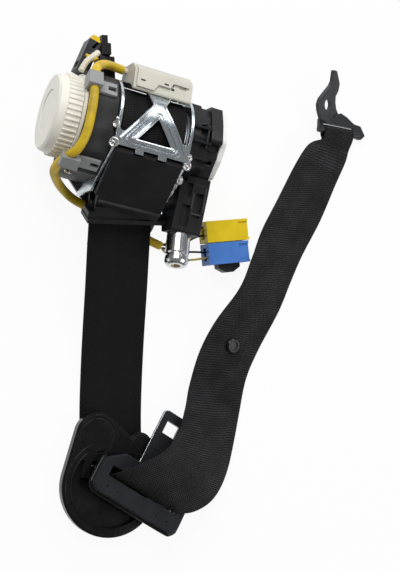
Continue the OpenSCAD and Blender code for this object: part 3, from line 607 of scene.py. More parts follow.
@dataclass(frozen=True)
class BraidedSleeve(Finish):
    """Coated fabric sleeve, laid out on the tube's own map."""

    rib_mm: float = 1.1
    strands: float = 14.0
    depth_mm: float = 0.03
    tone_mm: float = 26.0
    grime: Colour = (0.20, 0.12, 0.02)
    grime_mm: float = 11.0

    def build(self) -> bpy.types.Material:
        """Makes the material.

        Returns:
            The finished material.
        """
        sh = self.start()
        u, v, _ = sh.parts(sh.node("ShaderNodeUVMap"))
        co = sh.place()
        around, along = u * self.strands, v / (self.rib_mm * MM)
        braid = (around + along).hump().math("MAXIMUM", (around - along).hump())
        grimy = sh.noise(co, self.grime_mm, 5.0).step(0.5, 0.72)
        tone = sh.noise(co, self.tone_mm, 3.0).step(0.3, 0.7)
        base = sh.mix(tone, self.shade(0.88), self.shade(1.06))
        base = sh.mix(grimy * 0.45, base, self.grime)
        rough = self.roughness + (tone - 0.5) * 0.15 + grimy * 0.15
        return sh.surface(
            {
                "Base Color": base,
                "Roughness": rough.clamp(),
                "Normal": sh.bump(braid, self.depth_mm),
            }
        )


class Finishes:
    """Every finish of the part, each made once when it is first asked for."""

    def __init__(self) -> None:
        """Lists the finishes by name."""
        pale = (0.93, 0.91, 0.86)
        listed: list[Finish] = [
            PlatedSteel("zinc_plate", (0.64, 0.695, 0.73), 0.24, cloud=(0.47, 0.525, 0.575),
                        line_depth_mm=0.003, pitting=0.08, edge_mm=0.6),
            # The pressed ridges take a paler, smoother copy of the zinc plate: a painted
            # highlight.
            PlatedSteel("zinc_bead_highlit", (0.72, 0.77, 0.80), 0.17, cloud=(0.55, 0.60, 0.65),
                        line_depth_mm=0.002, pitting=0.05),
            PlatedSteel("rivet_steel", (0.74, 0.74, 0.73), 0.20, cloud=(0.52, 0.52, 0.52)),
            PlatedSteel("mount_plate", (0.20, 0.205, 0.22), 0.46, cloud=(0.13, 0.133, 0.145),
                        metallic=0.8),
            PlatedSteel("bright_can", (0.70, 0.71, 0.72), 0.19, cloud=(0.50, 0.51, 0.53),
                        lines=(1.0, 1.0, 0.08)),
            PlatedSteel("turned_steel", (0.62, 0.63, 0.65), 0.30),
            PlatedSteel("dark_blade", (0.030, 0.031, 0.034), 0.28, cloud=(0.014, 0.014, 0.016),
                        metallic=0.45, spread=0.1),
            PlatedSteel("anchor_coat", (0.050, 0.051, 0.055), 0.38, cloud=(0.026, 0.027, 0.03),
                        metallic=0.4, spread=0.12, line_mm=1.2, line_depth_mm=0.03),
            PlatedSteel("cast_alloy", (0.56, 0.57, 0.58), 0.45,
                        line_mm=1.6, line_depth_mm=0.03),
            PlatedSteel("contact_brass", (0.62, 0.47, 0.20), 0.30, cloud=(0.5, 0.36, 0.14)),
            MouldedPlastic("black_moulding", (0.0125, 0.0125, 0.0138), 0.44,
                           edge_highlight=(0.13, 0.13, 0.135), mottle=0.2),
            MouldedPlastic("grained_moulding", (0.031, 0.031, 0.0325), 0.52, mottle=0.4,
                           grain_mm=0.7, grain_depth_mm=0.3, edge_highlight=(0.16, 0.16, 0.165)),
            MouldedPlastic("gloss_moulding", (0.0058, 0.0058, 0.0061), 0.25, grain_mm=0.9,
                           grain_depth_mm=0.008, edge_highlight=(0.10, 0.10, 0.105), edge_mm=0.7),
            MouldedPlastic("grip_moulding", (0.0125, 0.0132, 0.0175), 0.42, grain_mm=0.55,
                           grain_depth_mm=0.03, edge_highlight=(0.12, 0.12, 0.13), edge_mm=0.7),
            MouldedPlastic("ivory_moulding", (0.84, 0.81, 0.73), 0.38, mottle=0.04,
                           edge_highlight=pale, glow=0.12, edge_mm=0.5, mirror=0.45),
            MouldedPlastic("white_moulding", (0.80, 0.79, 0.76), 0.42, mottle=0.04,
                           edge_highlight=pale, glow=0.1, mirror=0.45),
            MouldedPlastic("cream_moulding", (0.57, 0.548, 0.475), 0.46, mottle=0.06,
                           edge_highlight=(0.84, 0.82, 0.75), mirror=0.4),
            MouldedPlastic("grey_clip", (0.28, 0.285, 0.285), 0.46, mottle=0.07,
                           edge_highlight=(0.42, 0.42, 0.43), mirror=0.35),
            MouldedPlastic("dark_holder", (0.030, 0.032, 0.035), 0.45,
                           edge_highlight=(0.16, 0.16, 0.17), mirror=0.3),
            MouldedPlastic("yellow_moulding", (0.78, 0.52, 0.010), 0.40, mottle=0.06,
                           edge_highlight=(0.92, 0.72, 0.16), mirror=0.3),
            MouldedPlastic("plug_yellow", (0.70, 0.505, 0.008), 0.42, mottle=0.09,
                           edge_highlight=(0.88, 0.74, 0.14), mirror=0.3),
            MouldedPlastic("plug_blue", (0.060, 0.185, 0.53), 0.44, mottle=0.06,
                           edge_highlight=(0.24, 0.42, 0.78), mirror=0.3),
            MouldedPlastic("cream_cable", (0.70, 0.66, 0.56), 0.5, mottle=0.05, edge_highlight=pale),
            MouldedPlastic("wire_black_skin", (0.012, 0.012, 0.013), 0.36,
                           grain_depth_mm=0.004),
            MouldedPlastic("wire_yellow_skin", (0.58, 0.48, 0.09), 0.36, grain_depth_mm=0.004,
                           edge_highlight=(0.8, 0.7, 0.2)),
            BeltWeave("belt_weave", (0.0065, 0.0065, 0.0071), 0.58),
            # The wound roll takes a darker copy of the belt's weave, with dimmer pale threads:
            # painted shade.
            RollWeave("roll_weave_shaded", (0.0055, 0.0055, 0.0060), 0.60,
                      painted_thread_highlight=(0.035, 0.035, 0.038)),
            BraidedSleeve("sleeve_yellow", (0.66, 0.455, 0.010), 0.42),
        ]
        self.listed = {finish.name: finish for finish in listed}
        self.made: dict[str, bpy.types.Material] = {}

    def get(self, name: str) -> bpy.types.Material:
        """The material of one finish, made when it is first needed.

        Args:
            name: the finish's name.

        Returns:
            The material.
        """
        if name not in self.made:
            self.made[name] = self.listed[name].build()
        return self.made[name]


# Hand tools


class Bench:
    """Modelling by hand: every operator acts only on what is selected for it."""

    EDGE_SEGMENTS = 2
    SHARP_DEG = 32.0
    ROUND_STEPS = 4
    ROUND_SHARP_DEG = 60.0
    DOUBLES = 1e-6
    STUD_SIDES = 24
    STUD_FACING = 0.9
    STUD_RIM = 0.34
    STUD_SUNK = 0.3
    STUD_EDGE_MM = 0.28
    STUD_SHARP_DEG = 40.0

    @staticmethod
    def clear() -> None:
        """Leaves edit mode and selects nothing."""
        if bpy.context.object is not None and bpy.context.object.mode != "OBJECT":
            bpy.ops.object.mode_set(mode="OBJECT")
        bpy.ops.object.select_all(action="DESELECT")

    @classmethod
    def take(cls, piece: bpy.types.Object) -> None:
        """Makes one piece the only selected and the active one.

        Args:
            piece: the piece to work on.
        """
        cls.clear()
        piece.select_set(True)
        bpy.context.view_layer.objects.active = piece

    @classmethod
    def settle(cls, piece: bpy.types.Object, name: str) -> bpy.types.Object:
        """Moves a piece's place into its mesh and names it.

        Args:
            piece: the piece to settle.
            name: its new name.

        Returns:
            The same piece.
        """
        cls.take(piece)
        bpy.ops.object.transform_apply(location=True, rotation=True, scale=True)
        piece.name = name
        piece.data.name = name
        return piece

    @classmethod
    def select(
        cls, piece: bpy.types.Object, mode: str, test: Callable[[object], bool]
    ) -> None:
        """Enters edit mode with only some elements selected.

        Args:
            piece: the piece to edit.
            mode: VERT, EDGE or FACE.
            test: says whether a vertex, edge or face is selected.
        """
        cls.take(piece)
        bpy.ops.object.mode_set(mode="EDIT")
        bpy.ops.mesh.select_mode(type=mode)
        bpy.ops.mesh.select_all(action="DESELECT")
        bpy.ops.object.mode_set(mode="OBJECT")
        mesh = piece.data
        items = {"VERT": mesh.vertices, "EDGE": mesh.edges, "FACE": mesh.polygons}[mode]
        for item in items:
            item.select = bool(test(item))
        bpy.ops.object.mode_set(mode="EDIT")

    @classmethod
    def modify(cls, piece: bpy.types.Object, kind: str, **settings: object) -> None:
        """Adds one modifier and applies it.

        Args:
            piece: the piece to finish.
            kind: the modifier's type.
            settings: its properties.
        """
        cls.take(piece)
        modifier = piece.modifiers.new(kind.lower(), kind)
        for key, value in settings.items():
            setattr(modifier, key, value)
        bpy.ops.object.modifier_apply(modifier=modifier.name)

    @classmethod
    def smooth(cls, piece: bpy.types.Object, degrees: float = SHARP_DEG) -> None:
        """Shades a piece smooth except at its sharp edges.

        Args:
            piece: the piece to shade.
            degrees: the angle from which an edge is sharp.
        """
        cls.take(piece)
        bpy.ops.object.shade_smooth_by_angle(angle=math.radians(degrees))
        cls.clear()

    @classmethod
    def tidy(cls, piece: bpy.types.Object) -> None:
        """Merges doubles and turns the faces outwards.

        Args:
            piece: the piece to clean.
        """
        cls.take(piece)
        bpy.ops.object.mode_set(mode="EDIT")
        bpy.ops.mesh.select_all(action="SELECT")
        bpy.ops.mesh.remove_doubles(threshold=cls.DOUBLES)
        bpy.ops.mesh.normals_make_consistent(inside=False)
        bpy.ops.object.mode_set(mode="OBJECT")

    @classmethod
    def block(
        cls, name: str, centre: Point, size: Point, turn: Point, edge_mm: float
    ) -> bpy.types.Object:
        """A block with rounded edges.

        Args:
            name: the piece's name.
            centre: its centre, in millimetres.
            size: its three sizes, in millimetres.
            turn: its turn about X, Y and Z, in degrees.
            edge_mm: the radius of its edges.

        Returns:
            The new piece.
        """
        cls.clear()
        bpy.ops.mesh.primitive_cube_add(
            size=1.0,
            location=[c * MM for c in centre],
            rotation=[math.radians(a) for a in turn],
        )
        piece = bpy.context.object
        piece.scale = [s * MM for s in size]
        cls.settle(piece, name)
        cls.select(piece, "EDGE", lambda edge: True)
        bpy.ops.mesh.bevel(offset=edge_mm * MM, segments=cls.EDGE_SEGMENTS, profile=0.5)
        bpy.ops.object.mode_set(mode="OBJECT")
        return piece

    @classmethod
    def slab(
        cls, name: str, outline: Sequence[Point], rise: Point, edge_mm: float
    ) -> bpy.types.Object:
        """A flat piece of any outline, raised to a thickness, with rounded edges.

        Args:
            name: the piece's name.
            outline: the corners of its lower face, in millimetres.
            rise: the way to its upper face, in millimetres.
            edge_mm: the radius of its edges.

        Returns:
            The new piece.
        """
        cls.clear()
        bpy.ops.mesh.primitive_circle_add(vertices=len(outline), fill_type="NGON")
        piece = bpy.context.object
        for vertex, corner in zip(piece.data.vertices, outline):
            vertex.co = Vector(corner) * MM
        cls.select(piece, "FACE", lambda face: True)
        bpy.ops.mesh.extrude_region_move(
            TRANSFORM_OT_translate={"value": [r * MM for r in rise]}
        )
        bpy.ops.mesh.select_all(action="SELECT")
        bpy.ops.mesh.normals_make_consistent(inside=False)
        bpy.ops.mesh.bevel(offset=edge_mm * MM, segments=cls.EDGE_SEGMENTS, profile=0.5)
        bpy.ops.object.mode_set(mode="OBJECT")
        cls.settle(piece, name)
        cls.smooth(piece)
        return piece

    @classmethod
    def stud(
        cls, name: str, root: Point, along: Point, radius_mm: float, length_mm: float
    ) -> bpy.types.Object:
        """A staked boss: a short round stem with a sunk, rounded end.

        Args:
            name: the piece's name.
            root: the middle of its foot, in millimetres.
            along: the way it stands.
            radius_mm: its radius.
            length_mm: its length.

        Returns:
            The new piece.
        """
        cls.clear()
        way = Vector(along).normalized()
        middle = Vector(root) + way * (length_mm / 2)
        bpy.ops.mesh.primitive_cylinder_add(
            vertices=cls.STUD_SIDES, radius=radius_mm * MM, depth=length_mm * MM,
            location=middle * MM, rotation=way.to_track_quat("Z", "Y").to_euler(),
        )
        piece = cls.settle(bpy.context.object, name)
        cls.select(piece, "FACE", lambda face: face.normal.dot(way) > cls.STUD_FACING)
        bpy.ops.mesh.inset(thickness=radius_mm * cls.STUD_RIM * MM)
        bpy.ops.mesh.extrude_region_move(
            TRANSFORM_OT_translate={"value": way * (-cls.STUD_SUNK * length_mm * MM)}
        )
        bpy.ops.object.mode_set(mode="OBJECT")
        limit = math.radians(cls.STUD_SHARP_DEG)
        cls.modify(
            piece, "BEVEL", width=cls.STUD_EDGE_MM * MM, segments=3, angle_limit=limit
        )
        cls.smooth(piece, cls.STUD_SHARP_DEG)
        return piece

    @classmethod
    def bead(
        cls, name: str, points: Sequence[Vector], radius_mm: float, closed: bool
    ) -> bpy.types.Object:
        """A round bead along a path.

        Args:
            name: the piece's name.
            points: the path, in metres.
            radius_mm: the bead's radius.
            closed: whether the path is a ring.

        Returns:
            The new piece.
        """
        cls.clear()
        bpy.ops.curve.primitive_bezier_curve_add(location=(0, 0, 0))
        data = bpy.context.object.data
        data.splines.clear()
        data.bevel_depth = radius_mm * MM
        data.bevel_resolution = cls.ROUND_STEPS
        data.use_fill_caps = not closed
        spline = data.splines.new("POLY")
        spline.points.add(len(points) - 1)
        spline.use_cyclic_u = closed
        for target, point in zip(spline.points, points):
            target.co = (*point, 1.0)
        bpy.ops.object.convert(target="MESH")
        piece = cls.settle(bpy.context.object, name)
        cls.tidy(piece)
        cls.smooth(piece, cls.ROUND_SHARP_DEG)
        return piece

    @classmethod
    def join(cls, name: str, pieces: Sequence[bpy.types.Object]) -> bpy.types.Object:
        """Joins several pieces into one.

        Args:
            name: the joined piece's name.
            pieces: the pieces, which become one mesh.

        Returns:
            The joined piece.
        """
        cls.clear()
        for piece in pieces:
            piece.select_set(True)
        bpy.context.view_layer.objects.active = pieces[0]
        bpy.ops.object.join()
        joined = bpy.context.object
        joined.name = name
        joined.data.name = name
        return joined


# Routes and swept meshes


class Route:
    """A smooth curve through given stations."""

    def __init__(self, stations: Sequence[Sequence[float]], steps: int) -> None:
        """Samples the curve.

        Args:
            stations: rows of numbers in millimetres, the first three a point.
            steps: the samples from one station to the next.
        """
        self.rows = [tuple(row) for row in stations]
        self.samples = self.sample(steps)

    def sample(self, steps: int) -> list[tuple[float, ...]]:
        """The stations with rounded steps between them.

        Args:
            steps: the samples from one station to the next.

        Returns:
            The sampled rows.
        """
        last = len(self.rows) - 1
        out: list[tuple[float, ...]] = []
        for i in range(last):
            a, b = self.rows[max(i - 1, 0)], self.rows[i]
            c, d = self.rows[i + 1], self.rows[min(i + 2, last)]
            for k in range(steps):
                t = k / steps
                out.append(tuple(self.between(*four, t) for four in zip(a, b, c, d)))
        out.append(self.rows[-1])
        return out

    @staticmethod
    def between(a: float, b: float, c: float, d: float, t: float) -> float:
        """One number of the curve between two stations.

        Args:
            a: the number at the station before.
            b: the number at the first station.
            c: the number at the second station.
            d: the number at the station after.
            t: the place between the two, from 0 to 1.

        Returns:
            The number at that place.
        """
        return 0.5 * (
            2 * b
            + (c - a) * t
            + (2 * a - 5 * b + 4 * c - d) * t * t
            + (3 * b - a - 3 * c + d) * t * t * t
        )

    def points(self) -> list[Vector]:
        """The sampled points, in metres."""
        return [Vector(row[:3]) * MM for row in self.samples]


def frames_along(points: Sequence[Vector]) -> list[tuple[Vector, Vector]]:
    """Two side vectors at each point of a path, turned as little as possible.

    Args:
        points: the path.

    Returns:
        One pair of unit vectors for each point.
    """
    out: list[tuple[Vector, Vector]] = []
    side = None
    for i in range(len(points)):
        ahead = points[min(i + 1, len(points) - 1)] - points[max(i - 1, 0)]
        ahead.normalize()
        if side is None:
            side = ahead.orthogonal().normalized()
        side = (side - ahead * side.dot(ahead)).normalized()
        out.append((side.copy(), ahead.cross(side)))
    return out


def mesh_piece(
    name: str, points: Sequence[Vector], faces: Sequence[Sequence[int]]
) -> bpy.types.Object:
    """A new mesh object in the scene.

    Args:
        name: the object's name.
        points: its vertices, in metres.
        faces: its faces.

    Returns:
        The object.
    """
    mesh = bpy.data.meshes.new(name)
    mesh.from_pydata([tuple(p) for p in points], [], [tuple(f) for f in faces])
    mesh.update()
    piece = bpy.data.objects.new(name, mesh)
    bpy.context.scene.collection.objects.link(piece)
    return piece


def write_uv(piece: bpy.types.Object, uv: Sequence[Spot]) -> None:
    """Gives each vertex of a piece one place on its UV map.

    Args:
        piece: the piece.
        uv: one pair for each vertex.
    """
    layer = piece.data.uv_layers.new(name="UVMap")
    for loop in piece.data.loops:
        layer.data[loop.index].uv = uv[loop.vertex_index]


def ring_faces(rings: int, size: int) -> list[list[int]]:
    """The faces of a closed skin over a row of rings.

    Args:
        rings: the number of rings.
        size: the vertices of each ring.

    Returns:
        The first end, the sides and the last end.
    """
    faces = [list(range(size))]
    for low in range(0, (rings - 1) * size, size):
        high = low + size
        for k in range(size):
            n = (k + 1) % size
            faces.append([low + k, high + k, high + n, low + n])
    faces.append([(rings - 1) * size + k for k in range(size)][::-1])
    return faces


def swept_tube(
    name: str, points: Sequence[Vector], radius: float, sides: int
) -> bpy.types.Object:
    """A round tube along a path, closed at both ends, with a map of turns and metres.

    Args:
        name: the piece's name.
        points: the path, in metres.
        radius: the tube's radius, in metres.
        sides: the sides of a ring.

    Returns:
        The tube.
    """
    verts: list[Vector] = []
    uv: list[Spot] = []
    run = 0.0
    for i, (point, (right, up)) in enumerate(zip(points, frames_along(points))):
        run += (point - points[i - 1]).length if i else 0.0
        for k in range(sides):
            a = math.tau * k / sides
            verts.append(point + (right * math.cos(a) + up * math.sin(a)) * radius)
            uv.append((k / sides, run))
    faces = [[face[0], *face[:0:-1]] for face in ring_faces(len(points), sides)]
    piece = mesh_piece(name, verts, faces)
    write_uv(piece, uv)
    layer = piece.data.uv_layers[0]
    # The faces across the seam run on to a full turn instead of back to nought.
    for face in piece.data.polygons:
        turns = [layer.data[i].uv[0] for i in face.loop_indices]
        if max(turns) - min(turns) > 0.5 and len(turns) == 4:
            for i in face.loop_indices:
                if layer.data[i].uv[0] < 0.5:
                    layer.data[i].uv[0] += 1.0
    Bench.smooth(piece, Bench.ROUND_SHARP_DEG)
    return piece


def fit(
    piece: bpy.types.Object,
    material: bpy.types.Material,
    body: Body,
    replaced: Sequence[str] = (),
) -> None:
    """Dresses a new piece and fixes it to its body.

    Args:
        piece: the piece.
        material: its material.
        body: the body that it rides on.
        replaced: the nodes that it is shown in place of.
    """
    piece.data.materials.append(material)
    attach(piece, body.value)
    if replaced:
        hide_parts(*replaced)
    LOG.info("%s on %s", piece.name, body.value)


# Studio


@dataclass
class Studio:
    """Camera, pale floor and soft lamps.

    A lamp is a name, a place, an aim, the length of its side and its power in watts.
    """

    eye_mm: Point = (-261.5, -136.7, 882.6)
    right: Point = (0.9069109890310973, 0.18712618902827238, 0.37748675123028047)
    up: Point = (-0.21960104997399507, 0.974575314025017, 0.04447849079452196)
    back: Point = (-0.35956617864442614, -0.1232345189985124, 0.9249461695159616)
    focal_px: float = 1263.0
    frame_px: tuple[int, int] = (400, 573)
    sensor_mm: float = 36.0
    clip: Spot = (0.01, 20.0)
    floor_size: float = 8.0
    floor_gap_mm: float = 0.4
    paper: Colour = (0.86, 0.86, 0.86)
    white: Colour = (1.0, 1.0, 1.0)
    shadow_share: float = 0.07
    sky: float = 0.24
    lamps: tuple[tuple[str, Point, Point, float, float], ...] = (
        ("key_lamp", (-0.55, 0.75, 1.15), (0.05, 0.0, 0.02), 0.8, 13.5),
        ("fill_lamp", (1.0, -0.35, 0.95), (0.05, 0.0, 0.02), 0.7, 5.4),
        ("back_lamp", (0.35, 1.15, 0.7), (0.05, 0.05, 0.02), 0.6, 5.0),
    )

    def build(self, lowest: float) -> None:
        """Sets up camera, world, floor and lamps.

        Args:
            lowest: the height of the part's lowest point, in metres.
        """
        bpy.context.scene.view_settings.view_transform = "Standard"
        self.camera()
        self.world()
        self.floor(min(0.0, lowest) - self.floor_gap_mm * MM)
        for lamp in self.lamps:
            self.lamp(*lamp)

    def camera(self) -> None:
        """Puts the camera where the photograph was taken."""
        data = bpy.data.cameras.new("photo_camera")
        data.sensor_width = self.sensor_mm
        data.lens = self.focal_px * self.sensor_mm / max(self.frame_px)
        data.clip_start, data.clip_end = self.clip
        camera = bpy.data.objects.new("photo_camera", data)
        turn = Matrix((self.right, self.up, self.back)).transposed().to_4x4()
        camera.matrix_world = Matrix.Translation(Vector(self.eye_mm) * MM) @ turn
        bpy.context.scene.collection.objects.link(camera)
        bpy.context.scene.camera = camera

    def seen_ray(self, sh: Shader) -> Sock:
        """Tells the rays that show the floor from those that light the part.

        Args:
            sh: the shader under construction.

        Returns:
            1 for camera, mirror and glass rays, 0 for the others.
        """
        path = sh.node("ShaderNodeLightPath", out="Is Camera Ray")
        outputs = path.socket.node.outputs
        for name in ("Is Glossy Ray", "Is Transmission Ray"):
            path = path.math("MAXIMUM", Sock(sh, outputs[name]))
        return path

    def world(self) -> None:
        """A plain soft sky that lights gently from all sides."""
        world = bpy.data.worlds.new("studio_world")
        bpy.context.scene.world = world
        sh = Shader(world)
        light = {"Color": (*self.white, 1.0), "Strength": self.sky}
        sky = sh.node("ShaderNodeBackground", None, light)
        sh.node("ShaderNodeOutputWorld", None, {"Surface": sky})

    def floor(self, height: float) -> None:
        """A pale floor that keeps a soft shadow.

        Args:
            height: the height of the floor.
        """
        Bench.clear()
        bpy.ops.mesh.primitive_plane_add(size=self.floor_size, location=(0, 0, height))
        floor = Bench.settle(bpy.context.object, "studio_floor")
        sh = Shader(bpy.data.materials.new("floor_paper"))
        paper = sh.node("ShaderNodeBsdfDiffuse", None, {"Color": (*self.paper, 1.0)})
        plain = {"Color": (*self.white, 1.0), "Strength": 1.0}
        white = sh.node("ShaderNodeEmission", None, plain)
        share = self.seen_ray(sh) * (1.0 - self.shadow_share)
        look = sh.node("ShaderNodeMixShader", None, {0: share, 1: paper, 2: white})
        sh.node("ShaderNodeOutputMaterial", None, {"Surface": look})
        floor.data.materials.append(sh.owner)
        floor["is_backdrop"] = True

    def lamp(self, name: str, place: Point, aim: Point, size: float, power: float) -> None:
        """One square soft lamp.

        Args:
            name: the lamp's name.
            place: where it hangs.
            aim: what it points at.
            size: the length of its side.
            power: its power in watts.
        """
        data = bpy.data.lights.new(name, "AREA")
        data.size = size
        data.energy = power
        lamp = bpy.data.objects.new(name, data)
        lamp.location = place
        lamp.rotation_euler = (Vector(aim) - Vector(place)).to_track_quat("-Z", "Y").to_euler()
        bpy.context.scene.collection.objects.link(lamp)


# Soft pieces


@dataclass
class LeadWires:
    """The four thin wires between the sleeve's end and the two plugs.

    A route is the node it is shown in place of, a finish, a slot, the plug at its end and
    its stations in millimetres.
    """

    diameter_mm: float = 1.6
    steps: int = 6
    routes: tuple[tuple[str, str, Slot, str, tuple[Point, ...]], ...] = (
        ("wire_yellow_a", "wire_black_skin", Slot.WIRE_BLACK, "yellow_plug",
         ((43.1, 3.6, 8), (51, 4, 11), (58, 8, 13), (67, 15, 11), (76.48, 18.86, 8))),
        ("wire_yellow_b", "wire_yellow_skin", Slot.WIRE_YELLOW, "yellow_plug",
         ((43.1, 3.6, 5.8), (51, 8, 4.8), (59, 15, 5), (68, 20.5, 7), (75.40, 22.19, 8))),
        ("wire_blue_a", "wire_black_skin", Slot.WIRE_BLACK, "blue_plug",
         ((43.1, 1.4, 8), (51, 0, 11), (59, 1.5, 12), (69, 4, 10), (80.54, 6.37, 8))),
        ("wire_blue_b", "wire_yellow_skin", Slot.WIRE_YELLOW, "blue_plug",
         ((43.1, 1.4, 5.8), (51, -3, 5), (60, -4, 6), (70, -1.5, 7.5), (81.62, 3.04, 8))),
    )

    def build(self, frame: Mapping[str, Mapping], finishes: Finishes) -> None:
        """Lays the wires.

        Args:
            frame: the loaded frame, not used.
            finishes: the part's finishes.
        """
        for node, finish, slot, plug, stations in self.routes:
            points = Route(stations, self.steps).points()
            data = bpy.data.curves.new(node + "_lead", "CURVE")
            data.dimensions = "3D"
            data.bevel_depth = self.diameter_mm / 2 * MM
            data.bevel_resolution = Bench.ROUND_STEPS
            data.use_fill_caps = True
            spline = data.splines.new("POLY")
            spline.points.add(len(points) - 1)
            for target, point in zip(spline.points, points):
                target.co = (*point, 1.0)
            lead = bpy.data.objects.new(node + "_lead", data)
            bpy.context.scene.collection.objects.link(lead)
            fit(lead, finishes.get(finish), Body.RETRACTOR, (node,))


@dataclass
class HarnessSleeve:
    """The yellow sleeve over the harness, held by the clips round the spring side."""

    diameter_mm: float = 6.4
    sides: int = 28
    steps: int = 8
    stations: tuple[Point, ...] = (
        (-22, 113.5, 38.5), (-31, 113.5, 40), (-38, 111.5, 46), (-44, 107, 54),
        (-47.5, 101, 62), (-48, 91, 67.4), (-47.5, 80, 71), (-47.2, 66, 72),
        (-47.5, 54, 70.5), (-50, 43.5, 65.5), (-54.5, 38.5, 56), (-57, 33.5, 47),
        (-56, 30.5, 38), (-52, 28.8, 28), (-45.7, 26, 18), (-38, 23, 10.5),
        (-30, 20, 7), (-18.4, 17, 6.6), (6, 11.5, 6.4), (28, 5.5, 6.6), (42, 2.5, 7),
    )

    def build(self, finishes: Finishes) -> None:
        """Lays the sleeve.

        Args:
            finishes: the part's finishes.
        """
        points = Route(self.stations, self.steps).points()
        radius = self.diameter_mm / 2 * MM
        sleeve = swept_tube("harness_sleeve_cover", points, radius, self.sides)
        material = finishes.get("sleeve_yellow")
        fit(sleeve, material, Body.RETRACTOR, ("harness_sleeve",))


